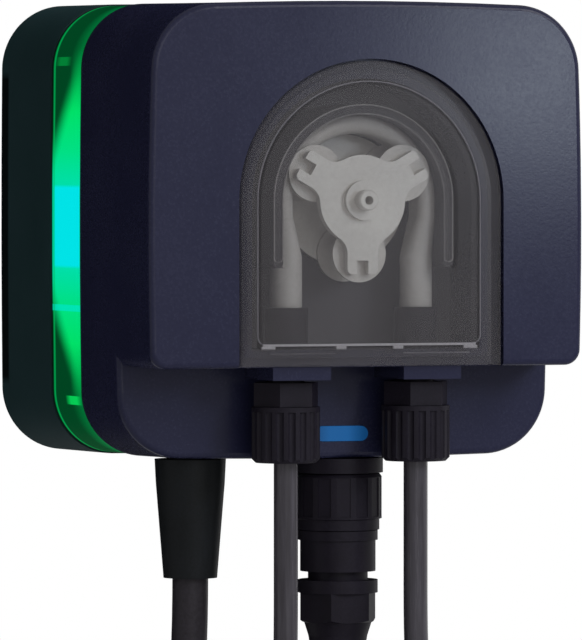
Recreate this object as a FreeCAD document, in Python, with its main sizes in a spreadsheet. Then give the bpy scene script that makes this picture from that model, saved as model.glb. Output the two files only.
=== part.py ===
# Peristaltic dosing pump for a wall, with its hoses and mains lead put away below it.
# Millimetres. +X right, -Y to the front, +Z up. The wall is the plane Y = 0.
# The origin is the middle of the wall bracket's back face. Depths count forward from the wall.
import FreeCAD, Part
import math
import os
import Sketcher

doc = FreeCAD.newDocument("dosing_pump")
sheet = doc.addObject("Spreadsheet::Sheet", "Sizes")

# name, millimetres, what it is
DIMENSIONS = [
    ("front_half_width", 57.05, "housing, half its width at the front face"),
    ("front_half_height", 56.6, "housing, half its height at the front face"),
    ("rear_half_width", 59.5, "housing, half its width at the wall"),
    ("rear_half_height", 57.3, "housing, half its height at the wall"),
    ("corner_radius", 16.5, "housing corners seen from the front"),
    ("front_crown", 1050.0, "large radius that bows the four sides at the front face"),
    ("rear_crown", 4000.0, "the same at the wall"),
    ("housing_shift", 1.0, "housing's middle to the left of the rotor axis"),
    ("wall", 3.0, "housing wall"),
    ("wall_gap", 0.6, "rear shell edge to the wall"),
    ("rear_seam", 40.9, "depth of the seam between rear shell and light ring"),
    ("ring_width", 22.1, "light ring, front to back"),
    ("tray_depth", 25.8, "light ring front to the lower tray face"),
    ("bulge_depth", 23.6, "tray face to the upper front face"),
    ("bulge_bottom", 33.4, "drop of the upper front part below mid height"),
    ("bulge_lap", 6.0, "how far the lower front part reaches up into the upper one"),
    ("bulge_corner", 4.0, "lower corners of the upper front part"),
    ("front_fillet", 1.5, "rounding of the upper front edges"),
    ("tray_fillet", 1.5, "rounding of the lower front edges"),
    ("rear_fillet", 4.0, "rounding of the rear edges"),
    ("ring_recess", 0.4, "light ring below the shells' surface"),
    ("ring_wall", 2.4, "light ring wall"),
    ("strip_gap", 0.3, "light ring to its strip of diodes"),
    ("strip_inset", 5.0, "edges of the light ring to the strip"),
    ("bracket_half_width", 38.0, "wall bracket, half width"),
    ("bracket_half_height", 34.0, "wall bracket, half height"),
    ("bracket_thickness", 2.0, "wall bracket plate"),
    ("bracket_clearance", 0.3, "wall bracket to rear shell"),
    ("wall_hole_x", 30.0, "wall screw holes, half their spacing across"),
    ("wall_hole_z", 24.0, "wall screw holes, half their spacing up"),
    ("wall_hole_radius", 2.4, "wall screw hole"),
    ("button_x", 16.0, "hanging buttons, half their spacing"),
    ("button_z", 12.0, "hanging buttons above mid height"),
    ("button_neck", 2.8, "hanging button neck radius"),
    ("button_head", 5.0, "hanging button head radius"),
    ("column_inset", 11.0, "housing's half width to the screw columns"),
    ("column_drop", 15.5, "housing's half height to the screw columns"),
    ("column_radius", 4.5, "housing screw column"),
    ("screw_radius", 1.5, "housing screw shank"),
    ("board_depth", 22.0, "back of the main board from the wall"),
    ("board_thickness", 1.6, "circuit boards"),
    ("board_gap", 0.5, "main board to the screw columns"),
    ("board_half_height", 34.0, "main board, half height"),
    ("board_post_inset", 3.5, "board edge to the middle of its posts"),
    ("module_width", 22.0, "power module across"),
    ("module_height", 42.0, "power module up"),
    ("module_depth", 17.0, "power module, front to back"),
    ("relay_width", 14.0, "relay across"),
    ("relay_height", 22.0, "relay up"),
    ("relay_depth", 14.0, "relay, front to back"),
    ("terminal_width", 20.0, "terminal block across"),
    ("terminal_height", 8.0, "terminal block up"),
    ("terminal_depth", 11.0, "terminal block, front to back"),
    ("board_post_radius", 3.0, "main board post"),
    ("rotor_height", 7.6, "rotor axis above mid height"),
    ("cover_radius", 34.3, "clear cover arch"),
    ("cover_gap", 0.5, "clear cover to its recess"),
    ("cover_plate", 1.6, "clear cover front plate"),
    ("cover_rim", 4.0, "clear cover rim, front to back"),
    ("cover_rim_wall", 2.2, "clear cover rim wall"),
    ("plug_offset", 4.7, "cover edge to the outside of its plug rib"),
    ("plug_rib", 1.2, "plug rib wall"),
    ("plug_length", 5.5, "plug rib behind the front face"),
    ("chamber_clearance", 0.4, "plug rib to the pump chamber"),
    ("chamber_floor", 23.1, "front face to the floor that the rotor runs over"),
    ("base_thickness", 2.5, "pump head base plate"),
    ("partition", 2.5, "housing wall behind the pump head"),
    ("race_radius", 21.2, "inside of the horseshoe track"),
    ("race_wall", 2.5, "horseshoe track wall"),
    ("race_leg", 15.4, "straight legs of the track below the rotor axis"),
    ("rib_setback", 0.4, "cover's tube rib inside the track"),
    ("tube_radius", 4.0, "pump tube outside"),
    ("tube_wall", 2.4, "pump tube wall"),
    ("tube_flat_width", 9.4, "squeezed pump tube, front to back"),
    ("tube_leg", 26.5, "pump tube ends below the rotor axis"),
    ("roller_circle", 13.3, "roller axes from the rotor axis"),
    ("roller_flange", 7.0, "roller flange radius"),
    ("roller_flange_wall", 0.8, "roller flange thickness"),
    ("roller_length", 11.6, "roller, front to back"),
    ("roller_gap", 0.1, "roller core to the squeezed tube"),
    ("roller_side_gap", 0.2, "roller to the carrier plates"),
    ("pin_radius", 1.4, "roller pin"),
    ("pin_clearance", 0.05, "roller bore round its pin"),
    ("carrier_setback", 6.6, "front face to the carrier's front plate"),
    ("carrier_plate", 2.2, "carrier plates"),
    ("carrier_disc", 11.2, "carrier disc radius"),
    ("arm_reach", 18.2, "carrier arm tip from the rotor axis"),
    ("arm_width", 8.0, "carrier arm"),
    ("arm_fillet", 4.5, "rounding between two carrier arms"),
    ("arm_slot", 3.0, "slot in a carrier arm's end"),
    ("arm_slot_depth", 3.3, "depth of that slot"),
    ("hub_radius", 4.9, "carrier hub ring"),
    ("hub_proud", 1.4, "carrier hub ring before the plate"),
    ("core_radius", 5.8, "carrier core between its plates"),
    ("shaft_radius", 2.6, "output shaft"),
    ("shaft_proud", 4.5, "output shaft end before the carrier's plate"),
    ("shaft_clearance", 0.05, "gearbox bore round the shaft"),
    ("gearbox_radius", 17.5, "gearbox"),
    ("gearbox_length", 20.0, "gearbox, front to back"),
    ("motor_radius", 12.5, "motor can"),
    ("motor_length", 24.0, "motor can, front to back"),
    ("pad_width", 15.2, "pads under the pump head"),
    ("pad_height", 3.2, "pads below the upper front part"),
    ("hose_radius", 3.0, "hoses outside"),
    ("neck_radius", 4.6, "hose fitting neck"),
    ("collar_flats", 14.6, "hose fitting collar across its flats"),
    ("collar_height", 5.9, "hose fitting collar"),
    ("thread_radius", 6.3, "hose fitting thread"),
    ("thread_clearance", 0.15, "nut round the thread"),
    ("nut_radius", 8.5, "hose nut outside"),
    ("nut_height", 13.8, "hose nut"),
    ("nut_floor", 3.0, "hose nut's floor"),
    ("flute_radius", 1.0, "flutes round the hose nut"),
    ("bar_x", 0.9, "status light to the right"),
    ("bar_half_width", 6.9, "status light, half its width"),
    ("bar_half_height", 1.85, "status light, half its height"),
    ("bar_rise", 6.0, "status light above the housing's foot"),
    ("bar_depth", 2.0, "status light, front to back"),
    ("bar_proud", 0.3, "status light before the tray face"),
    ("socket_x", 3.8, "circular connector to the right"),
    ("socket_inset", 10.4, "tray face to the circular connector's axis"),
    ("socket_neck", 7.0, "connector's neck inside the housing"),
    ("socket_flange", 3.7, "connector's panel flange, its thickness"),
    ("socket_radius", 11.3, "connector panel flange"),
    ("coupling_radius", 11.0, "connector coupling ring"),
    ("coupling_height", 11.2, "connector coupling ring"),
    ("plug_shell_radius", 9.45, "connector plug shell"),
    ("gland_flats", 17.4, "gland nut across its flats"),
    ("gland_bore", 3.2, "cable hole in the gland's seal"),
    ("boot_x", -34.0, "mains lead to the left"),
    ("boot_inset", 14.4, "tray face to the mains lead"),
    ("boot_neck", 6.0, "strain relief boot's neck inside the housing"),
    ("boot_top_radius", 8.9, "strain relief boot at the housing"),
    ("boot_end_radius", 6.7, "strain relief boot at its end"),
    ("boot_length", 29.6, "strain relief boot"),
    ("lead_radius", 4.5, "mains lead outside"),
    ("lead_behind", 14.4, "lead's coil behind the strain relief boot"),
    ("lead_coil", 50.0, "mains lead coil, middle of its turns"),
    ("lead_bundle", 13.5, "mains lead coil, section"),
    ("hose_coil", 35.0, "hose coils, middle of their turns"),
    ("hose_bundle", 10.0, "hose coils, section"),
    ("plug_radius", 19.0, "mains plug face"),
    ("plug_body", 36.0, "mains plug body"),
    ("prong_radius", 2.4, "mains plug pin"),
    ("prong_pitch", 19.0, "mains plug pins apart"),
    ("prong_length", 19.0, "mains plug pins"),
    ("filter_radius", 8.0, "foot filter"),
    ("valve_radius", 8.0, "injection valve"),
]

for row, (alias, number, note) in enumerate(DIMENSIONS, start=1):
    sheet.set("A%d" % row, note)
    sheet.set("B%d" % row, str(number))
    sheet.setAlias("B%d" % row, alias)
doc.recompute()


class Size:
    """A number together with the sheet expression that gives it."""

    def __init__(self, value, text):
        self.value = float(value)
        self.text = text

    def __add__(self, other):
        other = size_of(other)
        return Size(self.value + other.value, "(%s + %s)" % (self.text, other.text))

    def __radd__(self, other):
        return size_of(other) + self

    def __sub__(self, other):
        other = size_of(other)
        return Size(self.value - other.value, "(%s - %s)" % (self.text, other.text))

    def __rsub__(self, other):
        return size_of(other) - self

    def __mul__(self, other):
        other = size_of(other)
        return Size(self.value * other.value, "(%s * %s)" % (self.text, other.text))

    def __rmul__(self, other):
        return size_of(other) * self

    def __truediv__(self, other):
        other = size_of(other)
        return Size(self.value / other.value, "(%s / %s)" % (self.text, other.text))

    def __neg__(self):
        return Size(-self.value, "(0 - %s)" % self.text)


def size_of(thing):
    if isinstance(thing, Size):
        return thing
    return Size(thing, "%.9g" % thing if thing >= 0 else "(0 - %.9g)" % -thing)


def dim(alias):
    """The sheet's value of this name, as a Size."""
    return Size(sheet.get(alias), "Sizes.%s" % alias)


NODES = []


def bind(thing, prop, amount):
    thing.setExpression(prop, size_of(amount).text)


def new_body(label, at=None):
    """A body whose label names its file, placed at three sizes when it has a centre of its own."""
    body = doc.addObject("PartDesign::Body", label)
    body.Label = label
    NODES.append(body)
    if at:
        for axis, amount in zip("xyz", at):
            bind(body, "Placement.Base." + axis, amount)
    return body


def origin_feature(body, role):
    for feature in body.Origin.OriginFeatures:
        if feature.Role == role:
            return feature


def sketch_on(body, role, offset=0, shift=(0, 0)):
    """A sketch on one of the body's own planes. On XZ_Plane an offset goes to the front."""
    sketch = body.newObject("Sketcher::SketchObject", body.Label + "_sketch")
    sketch.AttachmentSupport = [(origin_feature(body, role), "")]
    sketch.MapMode = "FlatFace"
    bind(sketch, "AttachmentOffset.Base.z", offset)
    bind(sketch, "AttachmentOffset.Base.x", shift[0])
    bind(sketch, "AttachmentOffset.Base.y", shift[1])
    return sketch


def fix(sketch, kind, *places, to):
    """A dimension of the sketch, driven by the sheet."""
    to = size_of(to)
    index = sketch.addConstraint(Sketcher.Constraint(kind, *places, to.value))
    sketch.setExpression("Constraints[%d]" % index, to.text)


def fix_point(sketch, edge, end, x, y):
    fix(sketch, "DistanceX", -1, 1, edge, end, to=x)
    fix(sketch, "DistanceY", -1, 1, edge, end, to=y)


def vector(x, y):
    return FreeCAD.Vector(size_of(x).value, size_of(y).value, 0)


def polygon(sketch, points):
    """A closed outline of straight lines through the given points."""
    first = None
    for number, point in enumerate(points):
        following = points[(number + 1) % len(points)]
        edge = sketch.addGeometry(Part.LineSegment(vector(*point), vector(*following)), False)
        first = edge if first is None else first
        if number:
            sketch.addConstraint(Sketcher.Constraint("Coincident", edge - 1, 2, edge, 1))
    sketch.addConstraint(Sketcher.Constraint("Coincident", edge, 2, first, 1))
    for number, point in enumerate(points):
        fix_point(sketch, first + number, 1, *point)


def rectangle(sketch, left, bottom, right, top):
    polygon(sketch, [(left, bottom), (right, bottom), (right, top), (left, top)])


def circle(sketch, x, y, radius):
    place = Part.Circle(vector(x, y), FreeCAD.Vector(0, 0, 1), size_of(radius).value)
    edge = sketch.addGeometry(place, False)
    fix_point(sketch, edge, 3, x, y)
    fix(sketch, "Radius", edge, to=radius)


def arc(x, y, radius, start, end):
    whole = Part.Circle(vector(x, y), FreeCAD.Vector(0, 0, 1), size_of(radius).value)
    return Part.ArcOfCircle(whole, start, end)


def crowned_outline(sketch, half_width, half_height, corner, crown):
    """A rounded rectangle whose four sides bow outwards on one large radius."""
    width, height, small, large = [size_of(s).value for s in (half_width, half_height, corner, crown)]
    corner_x = width - small
    corner_y = height - small
    for _ in range(12):
        corner_x = (width - large) + math.sqrt((large - small) ** 2 - corner_y ** 2)
        corner_y = (height - large) + math.sqrt((large - small) ** 2 - corner_x ** 2)
    side = math.asin(corner_y / (large - small))
    top = math.asin(corner_x / (large - small))
    quarter = math.pi / 2
    edges = []
    for turn in range(4):
        across = turn % 2 == 0
        reach = half_width if across else half_height
        swing = side if across else top
        after = top if across else side
        sign = 1 if turn < 2 else -1
        centre = sign * (size_of(reach) - crown)
        middle = turn * quarter
        place = (centre, 0) if across else (0, centre)
        edges.append(sketch.addGeometry(arc(*place, crown, middle - swing, middle + swing), False))
        corner_sign_x = 1 if turn in (0, 3) else -1
        corner_sign_y = 1 if turn in (0, 1) else -1
        bend = arc(corner_sign_x * corner_x, corner_sign_y * corner_y, corner,
                   middle + swing, middle + quarter - after)
        edges.append(sketch.addGeometry(bend, False))
    for number, edge in enumerate(edges):
        following = edges[(number + 1) % len(edges)]
        sketch.addConstraint(Sketcher.Constraint("Tangent", edge, 2, following, 1))
    for turn in range(4):
        edge = edges[2 * turn]
        reach = half_width if turn % 2 == 0 else half_height
        sign = 1 if turn < 2 else -1
        along = "DistanceX" if turn % 2 == 0 else "DistanceY"
        sketch.addConstraint(Sketcher.Constraint("PointOnObject", edge, 3, -1 if turn % 2 == 0 else -2))
        fix(sketch, along, -1, 1, edge, 3, to=sign * (size_of(reach) - crown))
        fix(sketch, "Radius", edge, to=crown)
        fix(sketch, "Radius", edges[2 * turn + 1], to=corner)


def rounded_rectangle(sketch, half_width, half_height, radius):
    """A rounded rectangle about the sketch's own origin."""
    width, height, bend = size_of(half_width), size_of(half_height), size_of(radius)
    quarter = math.pi / 2
    lines = []
    arcs = []
    ends = [((width, bend - height), (width, height - bend)), ((width - bend, height), (bend - width, height)),
            ((-width, height - bend), (-width, bend - height)), ((bend - width, -height), (width - bend, -height))]
    centres = [(width - bend, height - bend), (bend - width, height - bend),
               (bend - width, bend - height), (width - bend, bend - height)]
    for turn in range(4):
        start, end = ends[turn]
        lines.append(sketch.addGeometry(Part.LineSegment(vector(*start), vector(*end)), False))
        arcs.append(sketch.addGeometry(arc(*centres[turn], bend, turn * quarter, (turn + 1) * quarter), False))
    for turn in range(4):
        sketch.addConstraint(Sketcher.Constraint("Tangent", lines[turn], 2, arcs[turn], 1))
        sketch.addConstraint(Sketcher.Constraint("Tangent", arcs[turn], 2, lines[(turn + 1) % 4], 1))
        sketch.addConstraint(Sketcher.Constraint("Vertical" if turn % 2 == 0 else "Horizontal", lines[turn]))
        fix(sketch, "Radius", arcs[turn], to=bend)
    fix(sketch, "DistanceX", -1, 1, lines[0], 1, to=width)
    fix(sketch, "DistanceY", -1, 1, lines[1], 1, to=height)
    fix(sketch, "DistanceX", -1, 1, lines[2], 1, to=-width)
    fix(sketch, "DistanceY", -1, 1, lines[3], 1, to=-height)


def arch(sketch, radius, centre, bottom):
    """A half circle on two straight legs, closed by a straight line at the bottom."""
    radius, centre, bottom = size_of(radius), size_of(centre), size_of(bottom)
    top = sketch.addGeometry(arc(0, centre, radius, 0, math.pi), False)
    left = sketch.addGeometry(Part.LineSegment(vector(-radius, centre), vector(-radius, bottom)), False)
    base = sketch.addGeometry(Part.LineSegment(vector(-radius, bottom), vector(radius, bottom)), False)
    right = sketch.addGeometry(Part.LineSegment(vector(radius, bottom), vector(radius, centre)), False)
    fix_point(sketch, top, 3, 0, centre)
    sketch.addConstraint(Sketcher.Constraint("Tangent", top, 2, left, 1))
    sketch.addConstraint(Sketcher.Constraint("Coincident", left, 2, base, 1))
    sketch.addConstraint(Sketcher.Constraint("Coincident", base, 2, right, 1))
    sketch.addConstraint(Sketcher.Constraint("Tangent", right, 2, top, 1))
    sketch.addConstraint(Sketcher.Constraint("Vertical", left))
    sketch.addConstraint(Sketcher.Constraint("Vertical", right))
    fix(sketch, "Radius", top, to=radius)
    fix(sketch, "DistanceY", -1, 1, base, 1, to=bottom)
    fix(sketch, "DistanceY", -1, 1, base, 2, to=bottom)


def horseshoe(sketch, inner, outer, centre, bottom):
    """A half ring on two legs with round ends."""
    inner, outer, centre, bottom = [size_of(s) for s in (inner, outer, centre, bottom)]
    middle = (inner + outer) / 2
    end = (outer - inner) / 2
    over = sketch.addGeometry(arc(0, centre, outer, 0, math.pi), False)
    out_left = sketch.addGeometry(Part.LineSegment(vector(-outer, centre), vector(-outer, bottom)), False)
    end_left = sketch.addGeometry(arc(-middle, bottom, end, math.pi, 2 * math.pi), False)
    in_left = sketch.addGeometry(Part.LineSegment(vector(-inner, bottom), vector(-inner, centre)), False)
    under = sketch.addGeometry(arc(0, centre, inner, 0, math.pi), False)
    in_right = sketch.addGeometry(Part.LineSegment(vector(inner, centre), vector(inner, bottom)), False)
    end_right = sketch.addGeometry(arc(middle, bottom, end, math.pi, 2 * math.pi), False)
    out_right = sketch.addGeometry(Part.LineSegment(vector(outer, bottom), vector(outer, centre)), False)
    joins = [(over, 2, out_left, 1), (out_left, 2, end_left, 1), (end_left, 2, in_left, 1),
             (in_left, 2, under, 2), (under, 1, in_right, 1), (in_right, 2, end_right, 1),
             (end_right, 2, out_right, 1), (out_right, 2, over, 1)]
    for join in joins:
        sketch.addConstraint(Sketcher.Constraint("Coincident", *join))
    for edge, radius in ((over, outer), (under, inner)):
        fix_point(sketch, edge, 3, 0, centre)
        fix(sketch, "Radius", edge, to=radius)
    for edge, side in ((end_left, -1), (end_right, 1)):
        fix_point(sketch, edge, 3, side * middle, bottom)
        fix(sketch, "Radius", edge, to=end)
    for edge, place in ((over, 1), (over, 2), (under, 1), (under, 2)):
        fix(sketch, "DistanceY", -1, 1, edge, place, to=centre)
    for edge, place in ((end_left, 1), (end_left, 2), (end_right, 1), (end_right, 2)):
        fix(sketch, "DistanceY", -1, 1, edge, place, to=bottom)


def profile_feature(body, kind, sketch):
    feature = body.newObject("PartDesign::" + kind, body.Label + "_" + kind.lower())
    feature.Profile = sketch
    sketch.Visibility = False
    return feature


def pad(body, sketch, length, back=False):
    """Adds material along the sketch's normal: to the front from XZ_Plane, up from XY_Plane."""
    feature = profile_feature(body, "Pad", sketch)
    feature.Reversed = back
    bind(feature, "Length", length)
    return feature


def pocket(body, sketch, length, forward=False):
    """Cuts against the sketch's normal: to the wall from XZ_Plane, down from XY_Plane."""
    feature = profile_feature(body, "Pocket", sketch)
    feature.Reversed = forward
    bind(feature, "Length", length)
    return feature


def turned(body, points, groove=False):
    """A solid turned about the body's Z axis from (radius, height) points, or a groove in it."""
    sketch = sketch_on(body, "XZ_Plane")
    polygon(sketch, points)
    feature = profile_feature(body, "Groove" if groove else "Revolution", sketch)
    feature.ReferenceAxis = (sketch, ["V_Axis"])
    feature.Angle = 360
    return feature


def polar(body, feature, count, role):
    pattern = body.newObject("PartDesign::PolarPattern", body.Label + "_pattern")
    pattern.Originals = [feature]
    pattern.Axis = (origin_feature(body, role), [""])
    pattern.Angle = 360
    pattern.Occurrences = count
    body.Tip = pattern
    return pattern


def loft(body, sketches):
    feature = body.newObject("PartDesign::AdditiveLoft", body.Label + "_loft")
    feature.Profile = sketches[0]
    feature.Sections = sketches[1:]
    feature.Ruled = True
    return feature


def round_edges(body, radius, wanted, kind="Fillet"):
    """Rounds or chamfers the edges of the body that the test picks."""
    doc.recompute()
    base = body.Tip
    names = ["Edge%d" % number for number, edge in enumerate(base.Shape.Edges, start=1) if wanted(edge)]
    feature = body.newObject("PartDesign::" + kind, body.Label + "_" + kind.lower())
    feature.Base = (base, names)
    bind(feature, "Radius" if kind == "Fillet" else "Size", radius)
    doc.recompute()
    return feature


def near(number, target, slack=0.02):
    return abs(number - size_of(target).value) < slack


def in_depth_plane(edge, depth):
    """True when the whole edge lies at this depth from the wall."""
    box = edge.BoundBox
    return near(box.YMin, -size_of(depth)) and near(box.YMax, -size_of(depth))


def at_height(edge, height):
    box = edge.BoundBox
    return near(box.ZMin, height) and near(box.ZMax, height)


def loose_shape(label, shape):
    """A sub-part whose shape is worked out from the sheet's sizes in this file."""
    feature = doc.addObject("Part::Feature", label)
    feature.Label = label
    feature.Shape = shape
    NODES.append(feature)
    return feature


# Depths that several pieces share
rear_seam = dim("rear_seam")
ring_front = rear_seam + dim("ring_width")
tray_face = ring_front + dim("tray_depth")
face = tray_face + dim("bulge_depth")
shell_floor = dim("wall_gap") + 1.7 + dim("wall")
floor_face = face - dim("chamber_floor")
base_back = floor_face - dim("base_thickness")
partition_back = base_back - dim("partition")
socket_depth = tray_face - dim("socket_inset")
boot_depth = tray_face - dim("boot_inset")
carrier_front = face - dim("carrier_setback")
carrier_back = carrier_front - dim("carrier_plate")
roller_front = carrier_back - dim("roller_side_gap")
roller_back = roller_front - dim("roller_length")
tube_depth = (roller_front + roller_back) / 2
rotor_z = dim("rotor_height")

# Radii and heights that several pieces share
recess_radius = dim("cover_radius") + dim("cover_gap")
rib_outer = dim("cover_radius") - dim("plug_offset")
chamber_radius = rib_outer + dim("chamber_clearance")
bulge_z = -dim("bulge_bottom")
cover_bottom = bulge_z + 0.2
chamber_bottom = bulge_z + dim("plug_offset") - dim("chamber_clearance")
leg_x = dim("race_radius") - dim("tube_radius")
squeezed = 2 * dim("tube_wall")
contact_radius = dim("race_radius") - squeezed
roller_core = contact_radius - dim("roller_circle") - dim("roller_gap")
tube_end_z = rotor_z - dim("tube_leg")
bar_z = dim("bar_rise") - dim("front_half_height")
column_x = dim("front_half_width") - dim("column_inset")
column_z = dim("front_half_height") - dim("column_drop")
board_half_width = column_x - dim("column_radius") - dim("board_gap")
post_x = board_half_width - dim("board_post_inset")
post_z = dim("board_half_height") - dim("board_post_inset")
pad_bottom = bulge_z - dim("pad_height")
collar_top = pad_bottom - 0.8
collar_bottom = collar_top - dim("collar_height")


aside = (-dim("housing_shift"), 0)


def hull(depth):
    """Half width and half height of the housing at a depth from the wall."""
    share = (face - depth) / face
    half_width = dim("front_half_width") + (dim("rear_half_width") - dim("front_half_width")) * share
    half_height = dim("front_half_height") + (dim("rear_half_height") - dim("front_half_height")) * share
    return half_width, half_height


def hull_section(body, depth, inset=0):
    """The housing's outline at a depth, drawn in from its surface by the inset."""
    half_width, half_height = hull(size_of(depth))
    crown = dim("front_crown") + (dim("rear_crown") - dim("front_crown")) * ((face - depth) / face)
    sketch = sketch_on(body, "XZ_Plane", depth, aside)
    crowned_outline(sketch, half_width - inset, half_height - inset, dim("corner_radius") - inset, crown)
    return sketch


def hollow_section(body, depth, half_width, half_height, inset):
    """A plain rounded outline for the housing's inside, on the housing's own middle."""
    sketch = sketch_on(body, "XZ_Plane", depth, aside)
    rounded_rectangle(sketch, half_width - inset, half_height - inset, dim("corner_radius") - inset)
    return sketch


def corners(x, z):
    return [(sx * x, sz * z) for sx in (-1, 1) for sz in (-1, 1)]


# Housing

def make_wall_bracket():
    body = new_body("wall_bracket")
    plate = sketch_on(body, "XZ_Plane")
    rounded_rectangle(plate, dim("bracket_half_width"), dim("bracket_half_height"), 5)
    pad(body, plate, dim("bracket_thickness"))
    neck_length = dim("bracket_clearance") + dim("wall") + 0.4
    for radius, start, length in ((dim("button_neck"), dim("bracket_thickness"), neck_length),
                                  (dim("button_head"), dim("bracket_thickness") + neck_length, 1.6)):
        buttons = sketch_on(body, "XZ_Plane", start)
        for side in (-1, 1):
            circle(buttons, side * dim("button_x"), dim("button_z"), radius)
        pad(body, buttons, length)
    holes = sketch_on(body, "XZ_Plane", dim("bracket_thickness"))
    for x, z in corners(dim("wall_hole_x"), dim("wall_hole_z")):
        circle(holes, x, z, dim("wall_hole_radius"))
    pocket(body, holes, dim("bracket_thickness"))


def make_rear_shell():
    body = new_body("rear_shell")
    back = dim("wall_gap")
    loft(body, [hull_section(body, back), hull_section(body, rear_seam)])
    round_edges(body, dim("rear_fillet"), lambda edge: in_depth_plane(edge, back))
    half_width, half_height = hull(rear_seam)
    inside = hollow_section(body, rear_seam, half_width, half_height, dim("wall"))
    pocket(body, inside, rear_seam - shell_floor)
    seat = sketch_on(body, "XZ_Plane")
    rounded_rectangle(seat, dim("bracket_half_width") + dim("bracket_clearance"),
                      dim("bracket_half_height") + dim("bracket_clearance"), 5)
    pocket(body, seat, dim("bracket_thickness") + dim("bracket_clearance"), forward=True)
    drop = dim("button_head") + dim("button_neck") + 1
    holes = sketch_on(body, "XZ_Plane", shell_floor)
    for side in (-1, 1):
        circle(holes, side * dim("button_x"), dim("button_z") - drop, dim("button_head") + 0.6)
    pocket(body, holes, shell_floor)
    slots = sketch_on(body, "XZ_Plane", shell_floor)
    for side in (-1, 1):
        left = side * dim("button_x") - dim("button_neck") - 0.3
        right = side * dim("button_x") + dim("button_neck") + 0.3
        rectangle(slots, left, dim("button_z") - drop, right, dim("button_z") + dim("button_neck") + 0.3)
    pocket(body, slots, shell_floor)
    windows = sketch_on(body, "XZ_Plane", shell_floor)
    for x, z in corners(dim("wall_hole_x"), dim("wall_hole_z")):
        circle(windows, x, z, dim("wall_hole_radius") + 3)
    pocket(body, windows, shell_floor)
    columns = sketch_on(body, "XZ_Plane", shell_floor)
    for x, z in corners(column_x, column_z):
        circle(columns, x, z, dim("column_radius"))
    pad(body, columns, ring_front - shell_floor)
    posts = sketch_on(body, "XZ_Plane", shell_floor)
    for x, z in corners(post_x, post_z):
        circle(posts, x, z, dim("board_post_radius"))
    pad(body, posts, dim("board_depth") - shell_floor)
    bores = sketch_on(body, "XZ_Plane", ring_front)
    for x, z in corners(column_x, column_z):
        circle(bores, x, z, dim("screw_radius") + 0.2)
    pocket(body, bores, ring_front)
    heads = sketch_on(body, "XZ_Plane")
    for x, z in corners(column_x, column_z):
        circle(heads, x, z, 2 * dim("screw_radius") + 0.2)
    pocket(body, heads, shell_floor, forward=True)


def make_light_ring():
    body = new_body("light_ring")
    recess = dim("ring_recess")
    loft(body, [hull_section(body, rear_seam, recess), hull_section(body, ring_front, recess)])
    half_width, half_height = hull(ring_front)
    inside = hollow_section(body, ring_front, half_width, half_height, recess + dim("ring_wall"))
    pocket(body, inside, dim("ring_width"))


def make_led_strip():
    body = new_body("led_strip")
    half_width, half_height = hull(ring_front)
    inset = dim("ring_recess") + dim("ring_wall") + dim("strip_gap")
    start = rear_seam + dim("strip_inset")
    length = dim("ring_width") - 2 * dim("strip_inset")
    pad(body, hollow_section(body, start, half_width, half_height, inset), length)
    inside = hollow_section(body, start + length, half_width, half_height, inset + dim("board_thickness"))
    pocket(body, inside, length)


def make_upper_front(reach):
    """The upper front part as a block of its own, which the front shell takes in."""
    body = doc.addObject("PartDesign::Body", "upper_front")
    loft(body, [hull_section(body, ring_front), hull_section(body, face)])
    below = sketch_on(body, "XZ_Plane", face)
    rectangle(below, -reach, -reach, reach, bulge_z)
    pocket(body, below, face - ring_front)
    side = dim("front_half_width").value
    shift = dim("housing_shift").value
    round_edges(body, dim("bulge_corner"), lambda edge: at_height(edge, bulge_z)
                and abs(edge.CenterOfMass.x + shift) > side - 2 and edge.BoundBox.YLength > 5)
    round_edges(body, dim("front_fillet"), lambda edge: in_depth_plane(edge, face))
    return body


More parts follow.
